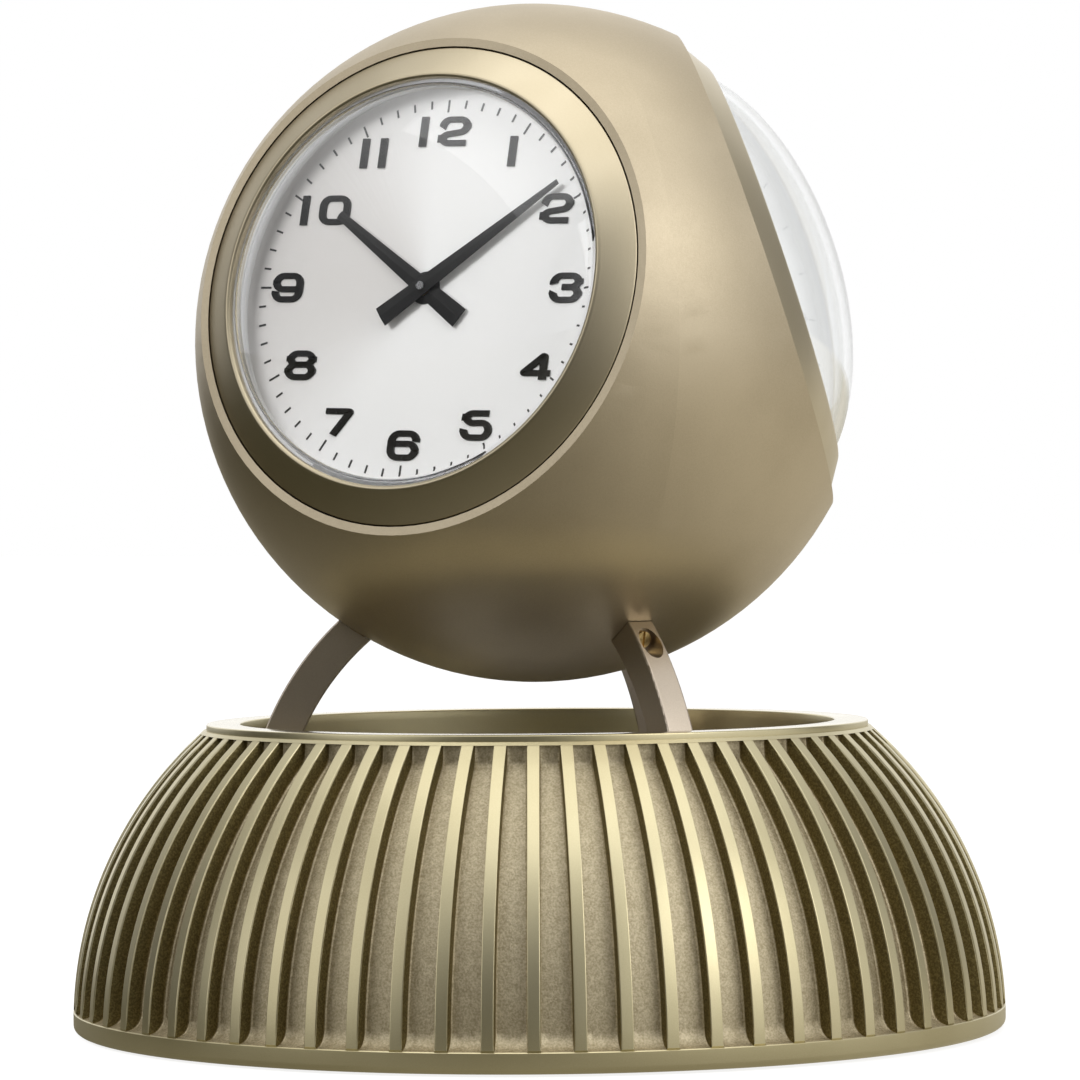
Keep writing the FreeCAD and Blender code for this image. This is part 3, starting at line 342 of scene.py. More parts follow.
def blasted_metal(name, tone, shade, rough=0.40):
    """Sand-blasted, anodised metal: a fine even grain, faint clouds of colour and of gloss."""
    finish = Finish(name)
    spot = finish.place()
    clouds = finish.noise(spot, 28.0, 3.0)
    grain = finish.noise(spot, 3800.0, 2.0)
    speck = finish.noise(spot, 1500.0, 1.0)
    colour = finish.mix(clouds.between(0.3, 0.7) * 0.6 + (grain - 0.5) * 0.9, tone, shade)
    roughness = rough + (clouds - 0.5) * 0.06 + (speck - 0.5) * 0.10
    return finish.done(colour, roughness, 1.0, finish.height(grain * 0.6 + speck * 0.4, 0.00004, 0.5))


def cast_gold():
    """Gold-anodised casting: turned rib tops and rim over grooves left rough from the sand, with painted
    shade on the rib flanks.
    """
    finish = Finish("cast_gold")
    spot = finish.place()
    rise = finish.mark("rise")
    sand = finish.noise(spot, 2300.0, 3.0, 0.6)
    lumps = finish.noise(spot, 620.0, 2.0)
    clouds = finish.noise(spot, 35.0, 3.0)
    grain = finish.noise(spot, 4200.0, 1.0)
    crest = rise.between(0.90, 0.955)
    flank = rise.between(0.02, 0.20) * (1.0 - crest)
    cast = finish.mix(sand.between(0.30, 0.68) * 0.75 + lumps.between(0.35, 0.7) * 0.25, (0.44, 0.37, 0.235),
                      (0.72, 0.64, 0.46))
    top = finish.mix(clouds.between(0.3, 0.7) * 0.6 + (grain - 0.5) * 0.8, (0.63, 0.565, 0.36),
                     (0.54, 0.475, 0.285))
    # painted shade: the flank mask gives the rib flanks a darker copy of the sand colour, as if in shadow
    # between the ribs
    painted_flank_shade = finish.mix(sand.between(0.4, 0.65), (0.17, 0.135, 0.055), (0.29, 0.235, 0.10))
    cast = finish.mix(flank, cast, painted_flank_shade)
    colour = finish.mix(crest, cast, top)
    rim = finish.split(spot)[2].between(0.06485, 0.06500)
    roughness = 0.58 - crest * 0.24 - rim * 0.20 + (sand - 0.5) * 0.12 * (1.0 - crest) + (clouds - 0.5) * 0.05
    relief = (sand * 0.6 + lumps * 0.9) * (1.0 - crest) + grain * 0.10 * crest
    return finish.done(colour, roughness, 1.0, finish.height(relief, 0.00012, 0.7))


def spun_satin(name, face):
    """Bezel: satin metal, blasted on its cone, with fine rings left by the lathe."""
    finish = Finish(name)
    spot = finish.place()
    radius, _, _ = finish.polar(face)
    rings = finish.lines(radius, 5200.0, 3.0)
    grain = finish.noise(spot, 3800.0, 2.0)
    clouds = finish.noise(spot, 45.0, 2.0)
    colour = finish.mix(clouds.between(0.3, 0.7) * 0.5 + (grain - 0.5) * 0.5, (0.60, 0.525, 0.375),
                        (0.50, 0.43, 0.29))
    roughness = 0.36 + (rings - 0.5) * 0.10 + (clouds - 0.5) * 0.06
    return finish.done(colour, roughness, 1.0, finish.height(rings * 0.5 + grain * 0.5, 0.00003, 0.5))


def sunray_dial(name, face):
    """Silvered dial: fine rays from the middle, and a greyer sector at its left that is painted shade,
    standing in for the dark side of the sunray's reflection.
    """
    finish = Finish(name)
    radius, across, up = finish.polar(face)
    rays = finish.noise(finish.joined(across, up, 0.0), 120.0, 2.0, 0.5)
    # painted shade: a greyer sector on the dial's left, standing in for the dark side of the sunray's
    # reflection
    painted_dark_sector = (up * 0.25 - across * 0.97).between(0.15, 1.05)
    colour = finish.mix(painted_dark_sector + (rays - 0.5) * 0.35, (0.93, 0.915, 0.91), (0.72, 0.69, 0.675))
    normal = finish.height(rays * radius, 0.0006, 0.4)
    return finish.done(colour, 0.36 + (rays - 0.5) * 0.08, 0.15, normal)


def crystal_glass():
    """Clear mineral glass over a ground foot; seen edge-on it turns darker and greener, partly its own green
    and partly painted shade for the dark outline of its edge.
    """
    finish = Finish("crystal_glass")
    smear = finish.noise(finish.place(), 90.0, 2.0)
    # darker green where seen edge-on: partly the glass's own colour, partly painted shade for the dark
    # outline of its edge
    edge = finish.node("ShaderNodeLayerWeight", inputs={"Blend": 0.5}, output="Facing").between(0.74, 0.98)
    tint_and_edge_shade = finish.mix(edge, finish.mix(smear, (0.975, 0.985, 0.98), (0.99, 0.995, 0.995)), (0.44, 0.47, 0.42))
    glass = finish.node("ShaderNodeBsdfPrincipled", inputs={
        "Base Color": tint_and_edge_shade, "Roughness": 0.0, "IOR": 1.49, "Transmission Weight": 1.0,
        "Specular IOR Level": 0.4})
    frost = finish.mix(smear, (0.62, 0.62, 0.64), (0.72, 0.72, 0.74))
    ground = finish.node("ShaderNodeBsdfPrincipled", inputs={"Base Color": frost, "Roughness": 0.5})
    solid = finish.blend(finish.mark("ground").between(0.45, 0.55), glass, ground)
    clear = finish.node("ShaderNodeBsdfTransparent", inputs={"Color": (0.97, 0.975, 0.975, 1.0)})
    finish.close(finish.blend(finish.ray("Shadow"), solid, clear))
    return finish.material


def gloss_black(name, rough=0.16):
    """Black lacquer, raised and faintly uneven."""
    finish = Finish(name)
    spot = finish.place()
    orange_peel = finish.noise(spot, 700.0, 2.0)
    haze = finish.noise(spot, 120.0, 2.0)
    colour = finish.mix(haze, (0.008, 0.008, 0.009), (0.016, 0.015, 0.015))
    return finish.done(colour, rough + (haze - 0.5) * 0.08, 0.0, finish.height(orange_peel, 0.00002, 0.4),
                       Specular_IOR_Level=0.35)


def printed_black():
    """Flat black print, slightly broken at the edge of its ink."""
    finish = Finish("printed_black")
    ink = finish.noise(finish.place(), 2500.0, 2.0)
    colour = finish.mix(ink, (0.02, 0.02, 0.022), (0.045, 0.043, 0.043))
    return finish.done(colour, 0.45 + (ink - 0.5) * 0.2, 0.0, finish.height(ink, 0.00001, 0.3))


def lacquer(name, light, shade):
    """Sprayed lacquer with a fine peel."""
    finish = Finish(name)
    spot = finish.place()
    peel = finish.noise(spot, 1300.0, 2.0)
    clouds = finish.noise(spot, 60.0, 2.0)
    colour = finish.mix(clouds, light, shade)
    return finish.done(colour, 0.35 + (clouds - 0.5) * 0.08, 0.0, finish.height(peel, 0.00002, 0.35))


def brushed_metal(name, light, shade):
    """Metal brushed along the upright, with a little uneven gloss."""
    finish = Finish(name)
    spot = finish.place()
    x, y, z = finish.split(spot)
    hairs = finish.noise(finish.joined(x, y, z * 0.04), 2400.0, 3.0, 0.6)
    clouds = finish.noise(spot, 70.0, 2.0)
    colour = finish.mix(hairs * 0.6 + clouds * 0.4, light, shade)
    return finish.done(colour, 0.34 + (hairs - 0.5) * 0.14, 1.0, finish.height(hairs, 0.00003, 0.4))


def turned_metal(name, light, shade, rough=0.28):
    """Turned metal: tight uneven marks and small bright nicks."""
    finish = Finish(name)
    spot = finish.place()
    marks = finish.noise(spot, 5200.0, 3.0, 0.6)
    wear = finish.noise(spot, 900.0, 3.0)
    colour = finish.mix(wear.between(0.4, 0.65), light, shade)
    return finish.done(colour, rough + (marks - 0.5) * 0.18, 1.0, finish.height(marks, 0.00002, 0.4))


def soft_rubber(name="soft_rubber", tone=(0.018, 0.018, 0.018), bloomed=(0.036, 0.035, 0.033)):
    """Soft matt rubber under a faint bloom."""
    finish = Finish(name)
    spot = finish.place()
    bloom = finish.noise(spot, 300.0, 3.0)
    colour = finish.mix(bloom, tone, bloomed)
    return finish.done(colour, 0.72 + (bloom - 0.5) * 0.15, 0.0, finish.height(bloom, 0.00003, 0.4))


def moulded_plastic():
    """Black plastic from a sparked mould."""
    finish = Finish("moulded_plastic")
    spot = finish.place()
    spark = finish.noise(spot, 2200.0, 2.0)
    flow = finish.noise(spot, 60.0, 2.0)
    colour = finish.mix(flow, (0.022, 0.022, 0.024), (0.040, 0.040, 0.042))
    return finish.done(colour, 0.5 + (spark - 0.5) * 0.2, 0.0, finish.height(spark, 0.00004, 0.5))


def pressed_felt():
    """Dark green felt: short fibres over soft tufts."""
    finish = Finish("pressed_felt")
    spot = finish.place()
    fibres = finish.noise(spot, 1800.0, 4.0, 0.7)
    tufts = finish.noise(spot, 350.0, 3.0)
    colour = finish.mix(fibres * 0.6 + tufts * 0.4, (0.018, 0.050, 0.030), (0.070, 0.120, 0.080))
    return finish.done(colour, 0.95, 0.0, finish.height(fibres, 0.00025, 0.9), Sheen_Weight=0.35)


def cell_sleeve():
    """Plain two-tone sleeve of a dry cell: a copper-coloured end over dark grey."""
    finish = Finish("cell_sleeve")
    x, _, _ = finish.split(finish.face_place("time"))
    wrap = finish.noise(finish.place(), 500.0, 2.0)
    band = x.between(0.0095, 0.0098)
    colour = finish.mix(band, (0.030, 0.032, 0.036), (0.42, 0.20, 0.08))
    return finish.done(colour, 0.3 + (wrap - 0.5) * 0.1, band * 0.7, finish.height(wrap, 0.00002, 0.3))


# The casting

def casting_rows():
    """The groove's floor and the rib's crest as (radius, level), row by row round the section.

    A third array is 1 on the rows that no rib crosses.
    """
    floor_radius = CREST_RADIUS - RIB_DEPTH
    inner = floor_radius - CASTING_WALL

    def arc(radius, levels):
        levels = np.asarray(levels, dtype=float)
        return np.stack([CREST_CENTRE + np.sqrt(radius ** 2 - (levels - CREST_LEVEL) ** 2), levels], axis=-1)

    def meets(radius, distance):
        """Level at which an arc stands at a distance from the axis."""
        return CREST_LEVEL + math.sqrt(radius ** 2 - (distance - CREST_CENTRE) ** 2)

    def turned(centre, radius, angle):
        return np.stack([centre[0] + radius * np.cos(angle), centre[1] + radius * np.sin(angle)], axis=-1)

    rim = rounded([(BOWL_RADIUS, RIM_HEIGHT - 2, 0), (BOWL_RADIUS, RIM_HEIGHT, RIM_BEVEL),
                   (RIM_RADIUS, RIM_HEIGHT, RIM_BEVEL), (RIM_RADIUS, RING_TOP, 0)], closed=False)
    ring = arc(CREST_RADIUS, np.linspace(RING_TOP, RIB_TOP, 3)) + (RING_PROUD, 0)
    wall_foot, scoop_top = meets(floor_radius, RIM_RADIUS), FOOT_BAND + SCOOP_RADIUS
    below = wall_foot - FLOOR_START
    wall = rounded([(RIM_RADIUS, RIB_TOP, 0), (RIM_RADIUS, wall_foot, WALL_FILLET),
                    (*arc(floor_radius, below), 0)], closed=False, spacing=10)
    ends = [math.asin((level - CREST_LEVEL) / floor_radius) for level in (below, scoop_top)]
    grooves = turned((CREST_CENTRE, CREST_LEVEL), floor_radius, np.linspace(*ends, 27)[1:])
    scoop_centre = (grooves[-1, 0] + SCOOP_RADIUS, scoop_top)
    scoop = turned(scoop_centre, SCOOP_RADIUS, np.radians(np.linspace(180, 270, 10)[1:]))
    scoop_crest = arc(CREST_RADIUS, np.linspace(scoop_top, FOOT_BAND + RIB_LIFT, 10)[1:])
    notch_floor = FOOT_RADIUS - NOTCH_FLOOR, FOOT_BAND
    notch_crest = FOOT_RADIUS - NOTCH_CREST, FOOT_BAND + NOTCH_STEP
    foot = rounded([(FOOT_RADIUS, FOOT_BAND - FOOT_BEVEL, 0), (FOOT_RADIUS, UNDERSIDE, FOOT_ROUND),
                    (arc(inner, PLATE_SEAT_LEVEL)[0] + PLATE_SEAT, UNDERSIDE, 0)], closed=False, spacing=15)
    foot = np.concatenate([[(FOOT_RADIUS - FOOT_BEVEL, FOOT_BAND)], foot])
    under = np.concatenate([[(foot[-1, 0], PLATE_SEAT_LEVEL)],
                            arc(inner, np.linspace(PLATE_SEAT_LEVEL, meets(inner, BOWL_BACK), 8)),
                            [(BOWL_BACK, PLATE_SEAT_LEVEL), (BOWL_RADIUS, PLATE_SEAT_LEVEL)],
                            [(BOWL_RADIUS, level) for level in BOWL_ROWS]])
    floor = np.concatenate([rim, ring, wall, grooves, scoop, [notch_floor], foot, under])
    crest = np.concatenate([rim, ring, arc(CREST_RADIUS, wall[:, 1]), arc(CREST_RADIUS, grooves[:, 1]),
                            scoop_crest, [notch_crest], foot, under])
    plain_rows = np.ones(len(floor))
    start = len(rim) + len(ring)
    plain_rows[start:start + len(wall) + len(grooves) + len(scoop) + 1] = 0
    return floor, crest, plain_rows


def casting_grid():
    """Every row runs round the base; across a rib the point slides from the floor to the crest and back.

    Offsets from a rib's middle plane are lengths, so its flanks stay parallel from rim to foot.
    """
    floor, crest, plain_rows = casting_rows()
    half, pitch = RIB_WIDTH / 2, 2 * math.pi / RIB_COUNT
    offsets = np.array([0, half - 0.20, half - 0.15, half - 0.04, half, half + 0.05, half + 0.30])
    weights = np.array([1, 1, 1, 0.988, 0.96, 0.06, 0])
    floor_radius = floor[:, :1]
    near = np.arcsin(offsets[-1] / floor_radius)
    groove = near + (pitch / 2 - near) * np.array([0.5, 1.0])
    side = np.concatenate([offsets + 0 * floor_radius, floor_radius * np.sin(groove)], axis=1)
    weight = np.concatenate([weights, [0, 0]])
    across = np.concatenate([-side[:, :0:-1][:, 1:], side], axis=1)
    weight = np.concatenate([weight[:0:-1][1:], weight])
    radial = np.sqrt(floor_radius ** 2 - across ** 2) + weight * (crest[:, :1] - floor_radius)
    level = floor[:, 1:] + weight * (crest[:, 1:] - floor[:, 1:])
    turn = math.radians(RIB_PHASE) + pitch * np.arange(RIB_COUNT)
    out = np.stack([np.sin(turn), -np.cos(turn)], axis=-1)
    along = np.stack([np.cos(turn), np.sin(turn)], axis=-1)
    flat = radial[:, None, :, None] * out[None, :, None] + across[:, None, :, None] * along[None, :, None]
    upright = np.broadcast_to(level[:, None, :, None], flat.shape[:3] + (1,))
    grid = np.concatenate([flat, upright], axis=-1).reshape(len(floor), -1, 3)
    rise = np.maximum(weight[None, None, :], plain_rows[:, None, None])
    return grid, np.broadcast_to(rise, (len(floor), RIB_COUNT, len(weight)))


def build_casting(finish):
    grid, rise = casting_grid()
    skin = Skin()
    skin.patch(grid, rows_close=True, columns_close=True)
    make_piece("casting", skin, finish, ("base_shell",), sharp=40.0,
               marks={"rise": np.ascontiguousarray(rise)})
    lugs = Skin()
    count = 48
    angle = 2 * math.pi * (np.arange(count) + 0.5) / count
    for turn in (0, 120, 240):
        away = math.radians(turn)
        middle = (LUG["inner"] + LUG["outer"]) / 2
        reach_x, reach_y = (LUG["outer"] - LUG["inner"]) / 2, LUG["wide"] / 2
        stretch = np.minimum(reach_x / np.abs(np.cos(angle)), reach_y / np.abs(np.sin(angle)))
        edge = np.stack([middle + stretch * np.cos(angle), stretch * np.sin(angle)], axis=-1)
        hole = np.stack([LUG["circle"] + LUG["hole"] * np.cos(angle), LUG["hole"] * np.sin(angle)], axis=-1)
        rows = [(edge, LUG["low"]), (edge, LUG["high"]), (hole, LUG["high"]), (hole, LUG["low"])]
        grid = np.stack([np.concatenate([ring, np.full((count, 1), level)], axis=1) for ring, level in rows])
        matrix = Matrix.Rotation(away - math.pi / 2, 4, "Z")
        lugs.patch(placed(grid, matrix), rows_close=True, columns_close=True)
    make_piece("casting_lugs", lugs, finish, marks={"rise": np.zeros(lugs.count)})


# Bezels and crystals

def build_bezel(face):
    """Cone, rounded lip, inner bead and the groove of its rubber ring."""
    cone = FACE_LEVEL + CONE_RISE
    groove = BEZEL_RADIUS - SEAL_DEPTH
    hole = OPENING_RADIUS - BEAD_WIDTH
    profile = rounded([
        (BORE_RADIUS, SEAT_LEVEL, 0.2), (BEZEL_RADIUS, SEAT_LEVEL, 0.3),
        (BEZEL_RADIUS, SEAL_TOP - SEAL_WIDTH, 0), (groove, SEAL_TOP - SEAL_WIDTH, 0),
        (groove, SEAL_TOP, 0), (BEZEL_RADIUS, SEAL_TOP, 0),
        (BEZEL_RADIUS, FACE_LEVEL, 0.35), (OPENING_RADIUS, cone, 0.12),
        (OPENING_RADIUS - BEAD_WIDTH / 2, cone + BEAD_RISE, 0.5), (hole, cone, 0.15),
        (hole, SHOULDER_LEVEL, 0), (BORE_RADIUS, SHOULDER_LEVEL, 0),
    ])
    skin = Skin()
    skin.patch(lathe(profile, face_matrix(face)), rows_close=True, columns_close=True)
    make_piece(face + "_bezel_ring", skin, spun_satin(face + "_bezel_satin", face),
               (face + "_bezel",), sharp=28.0)


def build_crystal(face, glass):
    """High dome: the outside and the inside are halves of flattened ellipsoids, over a stepped foot."""
    rows = 40
    lift = np.linspace(0, 1, rows)

    def dome(reach, rise, radius):
        end = math.acos(radius / reach)
        angle = math.pi / 2 + (end - math.pi / 2) * lift
        return np.stack([reach * np.cos(angle), DOME_LEVEL + rise * np.sin(angle)], axis=-1)

    outside = dome(DOME_REACH, DOME_RISE, GLASS_RADIUS)
    inside = dome(DOME_REACH - GLASS_WALL, DOME_RISE - GLASS_WALL, GLASS_RADIUS - GLASS_WALL)[::-1]
    foot = [(GLASS_RADIUS, SHOULDER_LEVEL), (GLASS_FLANGE_RADIUS, SHOULDER_LEVEL),
            (GLASS_FLANGE_RADIUS, GLASS_FOOT), (GLASS_RADIUS - GLASS_WALL, GLASS_FOOT)]
    profile = np.concatenate([outside, foot, inside])
    skin = Skin()
    grid = lathe(profile, face_matrix(face))
    skin.patch(grid, columns_close=True)
    ground = np.zeros(grid.shape[:2])
    ground[rows:rows + len(foot)] = 1
    make_piece(face + "_crystal_dome", skin, glass, (face + "_crystal",), sharp=50.0,
               marks={"ground": ground})


# Dial figures

STROKES = {
    "0": ([(0, 0), (0, 1), (1, 1), (1, 0)], True),
    "1": ([(0.5, 0), (0.5, 1)], False),
    "2": ([(0, 0.74), (0, 1), (1, 1), (1, 0.5), (0, 0.34), (0, 0), (1, 0)], False),
    "3": ([(0, 0.78), (0, 1), (1, 1), (1, 0.53), (0.35, 0.53)], False),
    "3b": ([(0.35, 0.53), (1, 0.53), (1, 0), (0, 0), (0, 0.24)], False),
    "4": ([(0.78, 0), (0.78, 1), (0, 0.27), (1.07, 0.27)], False),
    "5": ([(0.95, 1), (0.05, 1), (0.02, 0.58), (1, 0.62), (1, 0), (0, 0), (0, 0.22)], False),
    "6": ([(1, 0.8), (1, 1), (0, 1), (0, 0), (1, 0), (1, 0.57), (0, 0.57)], False),
    "7": ([(0, 1), (1, 1), (0.38, 0)], False),
    "8": ([(0.03, 0.53), (0.03, 1), (0.97, 1), (0.97, 0.53)], True),
    "8b": ([(0, 0), (0, 0.53), (1, 0.53), (1, 0)], True),
    "9": ([(0, 0.2), (0, 0), (1, 0), (1, 1), (0, 1), (0, 0.43), (1, 0.43)], False),
    "-": ([(0.15, 0.5), (0.85, 0.5)], False),
}
SQUARE_CORNERS = {"4": 0.02, "7": 0.03, "1": 0.0, "-": 0.0}
SECOND_STROKE = {"3": "3b", "8": "8b"}


def stroke_grid(points, closed, wide, high, pen, relief, corner):
    """Carries an elliptical pen along a rounded line: a bevelled ribbon, as a grid of points."""
    span = np.array([wide, high])
    corners = [(*(np.array(p) * span - span / 2), corner) for p in points]
    line = rounded(corners, closed, spacing=15)
    if closed:
        ahead, behind = np.roll(line, -1, axis=0), np.roll(line, 1, axis=0)
    else:
        ahead = np.concatenate([line[1:], line[-1:]])
        behind = np.concatenate([line[:1], line[:-1]])
    run = ahead - behind
    run = run / np.hypot(*run.T)[:, None]
    normal = np.stack([-run[:, 1], run[:, 0]], axis=-1)
    reach = np.array(pen) / 2
    edge = normal * reach ** 2 / np.hypot(*(normal * reach).T)[:, None]
    bevel = 0.12 * min(pen)
    shrink = 1 - bevel / np.hypot(*edge.T)[:, None]
    section = []
    for share, level in ((1, 0), (1, relief - bevel), (shrink, relief)):
        section.append((line + edge * share, level))
    for share, level in ((shrink, relief), (1, relief - bevel), (1, 0)):
        section.append((line - edge * share, level))
    columns = [np.concatenate([flat, np.full((len(line), 1), level)], axis=1) for flat, level in section]
    return np.stack(columns, axis=1)


def figure_strokes(skin, text, middle, high, matrix, relief=FIGURE_RELIEF):
    """Adds a number's strokes to a skin: upright figures side by side, centred on a point of the face."""
    size = high / FIGURE_HIGH
    pen = (PEN_WIDE * size, PEN_HIGH * size)
    gap = FIGURE_GAP * size
    widths = [pen[0] if digit == "1" else FIGURE_WIDE * size for digit in text]
    left = middle[0] - (sum(widths) + gap * (len(text) - 1)) / 2
    for digit, wide in zip(text, widths):
        corner = SQUARE_CORNERS.get(digit, 0.27) * high
        box = (max(wide - pen[0], 0.01), high - pen[1])
        for stroke in (digit, SECOND_STROKE.get(digit)):
            if stroke is None:
                continue
            points, closed = STROKES[stroke]
            if digit == "1":
                box = (0.01, high)
            grid = stroke_grid(points, closed, *box, pen, relief, corner)
            grid = grid + np.array([left + wide / 2, middle[1], DIAL_LEVEL])
            skin.patch(placed(grid, matrix), rows_close=closed, columns_close=True)
            if not closed:
                for end in (grid[0], grid[-1]):
                    skin.patch(placed(end[[0, 1, 2, 5, 4, 3]].reshape(2, 3, 3), matrix))
        left += wide + gap


def tick_boxes(skin, angles, inner, outer, wide, matrix, relief=0.08, middle=(0, 0)):
    """Adds radial bars: all corners at once, clockwise angles in degrees from the top of the face."""
    angles = np.radians(np.asarray(angles, dtype=float))[:, None]
    away = np.stack([np.sin(angles), np.cos(angles)], axis=-1)
    beside = np.stack([np.cos(angles), -np.sin(angles)], axis=-1)
    reach = np.array([inner, inner, outer, outer] * 2)[None, :, None]
    side = np.array([-wide, wide, wide, -wide] * 2)[None, :, None] / 2
    flat = away * reach + beside * side + np.array(middle)
    level = DIAL_LEVEL + np.array([0] * 4 + [relief] * 4)[None, :, None]
    level = np.broadcast_to(level, flat.shape[:2] + (1,))
    skin.boxes(placed(np.concatenate([flat, level], axis=-1), matrix))


def on_circle(radius, angle):
    """Point of the face at a clockwise angle in degrees from its top."""
    return radius * math.sin(math.radians(angle)), radius * math.cos(math.radians(angle))


def build_time_figures(raised, print_ink):
    """Twelve upright hour figures and a track of sixty fine bars, turned together by the dial's roll."""
    matrix = face_matrix("time") @ Matrix.Rotation(-math.radians(DIAL_ROLL), 4, "Z")
    figures = Skin()
    for hour in range(1, 13):
        x, y = on_circle(FIGURE_RADIUS, 30 * hour)
        figure_strokes(figures, str(hour), (x + FIGURE_SHIFT.get(hour, 0), y), FIGURE_HIGH, matrix)
    make_piece("time_figures", figures, raised, sharp=40.0)
    track = Skin()
    tick_boxes(track, 6 * np.arange(60), *MINUTE_TRACK, matrix)
    tick_boxes(track, 30 * np.arange(12), *HOUR_TRACK, matrix)
    make_piece("time_minute_track", track, print_ink)


def build_calendar_figures(raised, print_ink):
    """Days of the month round the rim, seven weekdays on the left, twelve months on the right."""
    matrix = face_matrix("calendar")
    figures, track = Skin(), Skin()
    for day in range(1, 32):
        spot = on_circle(DAY_RADIUS, 360 * (day - 1) / 31)
        figure_strokes(figures, str(day), spot, DAY_HIGH, matrix, DAY_RELIEF)
    tick_boxes(track, np.arange(31) * 360 / 31, *DAY_TRACK, matrix)
    for middle, count in SMALL_DIALS:
        for number in range(1, count + 1):
            x, y = on_circle(SMALL_RADIUS, 360 * number / count)
            figure_strokes(figures, str(number), (middle + x, y), SMALL_HIGH, matrix, SMALL_RELIEF)
        tick_boxes(track, np.arange(count) * 360 / count, *SMALL_TRACK, matrix, middle=(middle, 0))
    make_piece("calendar_figures", figures, raised, sharp=40.0)
    make_piece("calendar_track", track, print_ink)


def build_thermometer_figures(raised, print_ink):
    """Scale from -10 to 50 degrees over 240 degrees of turn, 20 at the top."""
    matrix = face_matrix("thermometer")
    figures, track = Skin(), Skin()

    def turn(warmth):
        return TURN_PER_DEGREE * (warmth - WARMTH_AT_TOP)

    for warmth in range(COLDEST, WARMEST + 1, 10):
        spot = on_circle(WARMTH_RADIUS, turn(warmth))
        figure_strokes(figures, str(warmth), spot, WARMTH_HIGH, matrix, WARMTH_RELIEF)
    tick_boxes(track, turn(np.arange(COLDEST, WARMEST + 1)), *DEGREE_TRACK, matrix)
    tick_boxes(track, turn(np.arange(COLDEST, WARMEST + 1, 10)), *TEN_DEGREE_TRACK, matrix)
    make_piece("thermometer_figures", figures, raised, sharp=40.0)
    make_piece("thermometer_track", track, print_ink)


# Finishes of the pieces that keep the frame's own shape

def dress(finish, *names):
    for name in names:
        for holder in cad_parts[name].material_slots:
            holder.material = finish


def dress_nodes():
    satin = blasted_metal("ball_satin", (0.57, 0.49, 0.355), (0.45, 0.38, 0.265), 0.47)
    bar = blasted_metal("leg_satin", (0.59, 0.51, 0.415), (0.47, 0.40, 0.315), 0.36)
    pale_rubber = soft_rubber("pale_rubber", (0.60, 0.60, 0.63), (0.70, 0.70, 0.73))
    steel = turned_metal("turned_steel", (0.62, 0.62, 0.63), (0.48, 0.48, 0.49))
    brass = brushed_metal("brushed_brass", (0.72, 0.56, 0.27), (0.60, 0.45, 0.20))
    screw = turned_metal("screw_brass", (0.66, 0.50, 0.24), (0.42, 0.31, 0.14), 0.3)
    rubber, plastic = soft_rubber(), moulded_plastic()
    white = lacquer("white_lacquer", (0.86, 0.86, 0.85), (0.80, 0.80, 0.79))
    hand = gloss_black("hand_black", 0.42)
    dress(satin, "ball_shell")
    dress(bar, "leg_left", "leg_right", "leg_rear")
    dress(screw, "leg_ball_screws", "leg_foot_screws", "deck_screws", "bimetal_coil")
    dress(steel, "base_plate", "base_deck", "battery_contacts", "hand_screw")
    dress(pressed_felt(), "foot_felt")
    dress(rubber, "bezel_seals")
    dress(plastic, "movement_case", "movement_cover", "calendar_movement", "setting_knob")
    dress(cell_sleeve(), "battery")
    dress(brass, "calendar_bridge", "coil_bridge", "cannon_pinion", "hour_wheel", "minute_wheel",
          "date_wheel", "weekday_wheel", "day_drive_wheel", "month_wheel", "temperature_arbor")
    dress(hand, "minute_hand", "hour_hand", "date_hand", "weekday_hand", "month_hand", "temperature_pointer")
    for face in FACES:
        dress(pale_rubber, face + "_gasket")
        dress(white, face + "_flange_ring")
        dress(brass, face + "_back_plate", face + "_retaining_ring")
        dress(sunray_dial(face + "_dial_silver", face), face + "_dial")


# Stage

def aim(thing, spot, target):
    """Stands a light at spot and points it at target, both in metres."""
    spot, target = Vector(spot), Vector(target)
    turn = (spot - target).to_track_quat("Z", "Y").to_matrix().to_4x4()
    thing.matrix_world = Matrix.Translation(spot) @ turn


def soft_box(name, spot, target, wide, high, watts):
    data = bpy.data.lights.new(name, "AREA")
    data.shape, data.size, data.size_y = "RECTANGLE", wide, high
    data.energy = watts
    light = bpy.data.objects.new(name, data)
    bpy.context.scene.collection.objects.link(light)
    aim(light, spot, target)
    return light


def from_camera(right, forward, up):
    """A point in metres, given to the right of, towards and above the object as the camera sees it."""
    angle = math.radians(CAMERA_AZIMUTH)
    return (right * math.cos(angle) + forward * math.sin(angle),
            right * math.sin(angle) - forward * math.cos(angle), up)


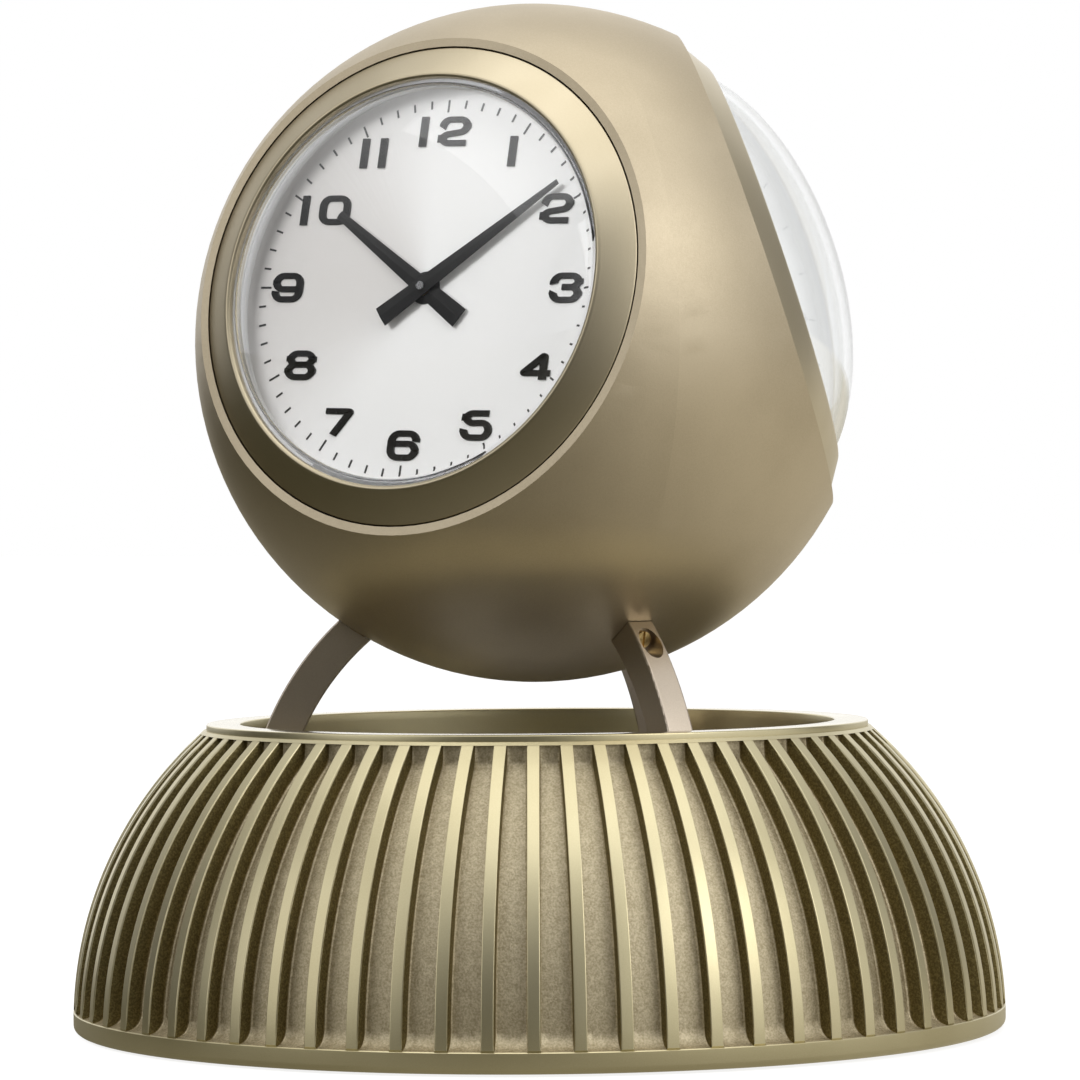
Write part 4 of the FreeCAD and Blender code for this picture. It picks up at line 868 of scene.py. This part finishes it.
def light_studio():
    """Large soft sources over and to the right of the object, a white wall behind it, and dark to its left.

    The fill lights matt surfaces only, so that it doesn't glare in the crystals.
    """
    middle = (0, 0, 0.12)
    soft_box("key", from_camera(1.0, 0.9, 0.8), middle, 0.8, 0.8, 3.6)
    soft_box("top", from_camera(0.1, 0.2, 1.3), middle, 1.4, 1.4, 4.5)
    fill = soft_box("fill", from_camera(-1.25, 0.75, 0.95), middle, 0.5, 0.5, 17.0)
    fill.visible_glossy = fill.visible_transmission = False
    world = bpy.data.worlds.new("studio")
    bpy.context.scene.world = world
    sky = Shading(world)
    toward = sky.node("ShaderNodeTexCoord", output="Generated")
    overhead = sky.along(toward, (0, 0, 1)).between(0.30, 0.95) * 0.9
    right = sky.along(toward, from_camera(0.85, 0.50, 0.10)).between(0.55, 0.92) * 0.85
    behind = sky.along(toward, from_camera(0.0, -1, 0.1)).between(0.45, 0.90)
    rough_only = 1.0 - sky.ray("Singular")
    before_dial = sky.along(toward, from_camera(-0.80, 0.43, 0.41)).between(0.84, 0.96) * rough_only
    share = overhead.math("MAXIMUM", right).math("MAXIMUM", behind).math("MAXIMUM", before_dial)
    dark, bright, backdrop = (sky.node("ShaderNodeBackground", inputs={"Color": (tone, tone, tone, 1)})
                              for tone in (0.10, 1.15, 1))
    studio = sky.blend(share, dark, bright)
    ahead = sky.along(toward, from_camera(0, -1, 0)).between(0.62, 0.86)
    seen = sky.ray("Camera").math("MAXIMUM", sky.ray("Transmission") * ahead)
    sky.close(sky.blend(seen, studio, backdrop), "ShaderNodeOutputWorld")


def lay_floor():
    """Pale floor: it keeps the shadow and otherwise fades into the white backdrop.

    Metal sees it as a painted reflection: a glow, dark to the left of the object and pale to the right, as if
    the floor were lit from the right.
    """
    finish = Finish("pale_floor")
    spot = finish.place()
    cloud = finish.noise(spot, 3.0, 2.0)
    paper = finish.mix(cloud, (0.78, 0.78, 0.78), (0.82, 0.82, 0.82))
    matt = finish.node("ShaderNodeBsdfDiffuse", inputs={"Color": paper})
    glow = finish.node("ShaderNodeEmission", inputs={"Color": (1, 1, 1, 1), "Strength": 1.2})
    # painted reflection: for glossy rays the floor glows, dark on the left and pale on the right, standing in
    # for light and shade on it
    side = finish.along(spot, from_camera(1, -0.4, 0)).between(-0.30, 0.30)
    tone = finish.mix(side, (0.055, 0.050, 0.026), (0.72, 0.68, 0.58))
    painted_reflection = finish.node("ShaderNodeEmission", inputs={"Color": tone})
    seen = finish.blend(finish.ray("Camera", "Transmission") * 0.7, matt, glow)
    finish.close(finish.blend(finish.ray("Glossy"), seen, painted_reflection))
    lines = np.linspace(-9, 9, 13)
    xs, ys = np.meshgrid(lines, lines)
    points = np.stack([xs, ys, 0 * xs], axis=-1).reshape(-1, 3)
    index = np.arange(len(points)).reshape(len(lines), -1)
    quads = np.stack([index[:-1, :-1], index[:-1, 1:], index[1:, 1:], index[1:, :-1]], axis=-1).reshape(-1, 4)
    mesh = bpy.data.meshes.new("floor")
    mesh.from_pydata(points.tolist(), [], quads.tolist())
    mesh.materials.append(finish.material)
    floor = bpy.data.objects.new("floor", mesh)
    bpy.context.scene.collection.objects.link(floor)


def place_camera():
    """The fitted view; its axis is turned slightly so that the frame's middle needs no shift."""
    yaw, pitch, roll = CAMERA_YAW, CAMERA_PITCH, CAMERA_ROLL
    forward = Vector((math.sin(yaw) * math.cos(pitch), math.cos(yaw) * math.cos(pitch), math.sin(pitch)))
    level_right = Vector((math.cos(yaw), -math.sin(yaw), 0))
    level_up = level_right.cross(forward)
    right = level_right * math.cos(roll) + level_up * math.sin(roll)
    up = level_up * math.cos(roll) - level_right * math.sin(roll)
    forward = forward + right * ((FRAME_MIDDLE - CENTRE_PIXEL[0]) / FOCAL_PIXELS)
    forward = (forward - up * ((FRAME_MIDDLE - CENTRE_PIXEL[1]) / FOCAL_PIXELS)).normalized()
    right = (right - forward * right.dot(forward)).normalized()
    up = right.cross(forward)
    turn = Matrix((right, up, -forward)).transposed().to_4x4()
    spot = Vector((0, -CAMERA_DISTANCE, CAMERA_HEIGHT)) * MM
    data = bpy.data.cameras.new("camera")
    data.lens, data.sensor_width, data.sensor_fit = CAMERA_LENS, CAMERA_SENSOR, "HORIZONTAL"
    camera = bpy.data.objects.new("camera", data)
    bpy.context.scene.collection.objects.link(camera)
    swing = Matrix.Rotation(math.radians(CAMERA_AZIMUTH), 4, "Z")
    camera.matrix_world = swing @ Matrix.Translation(spot) @ turn
    bpy.context.scene.camera = camera


place_camera()
light_studio()
lay_floor()
dress_nodes()
build_casting(cast_gold())
clear_glass = crystal_glass()
for each_face in FACES:
    build_bezel(each_face)
    build_crystal(each_face, clear_glass)
figure_black, ink = gloss_black("figure_black"), printed_black()
build_time_figures(figure_black, ink)
build_calendar_figures(figure_black, ink)
build_thermometer_figures(figure_black, ink)

bpy.context.scene.view_settings.view_transform = "Standard"
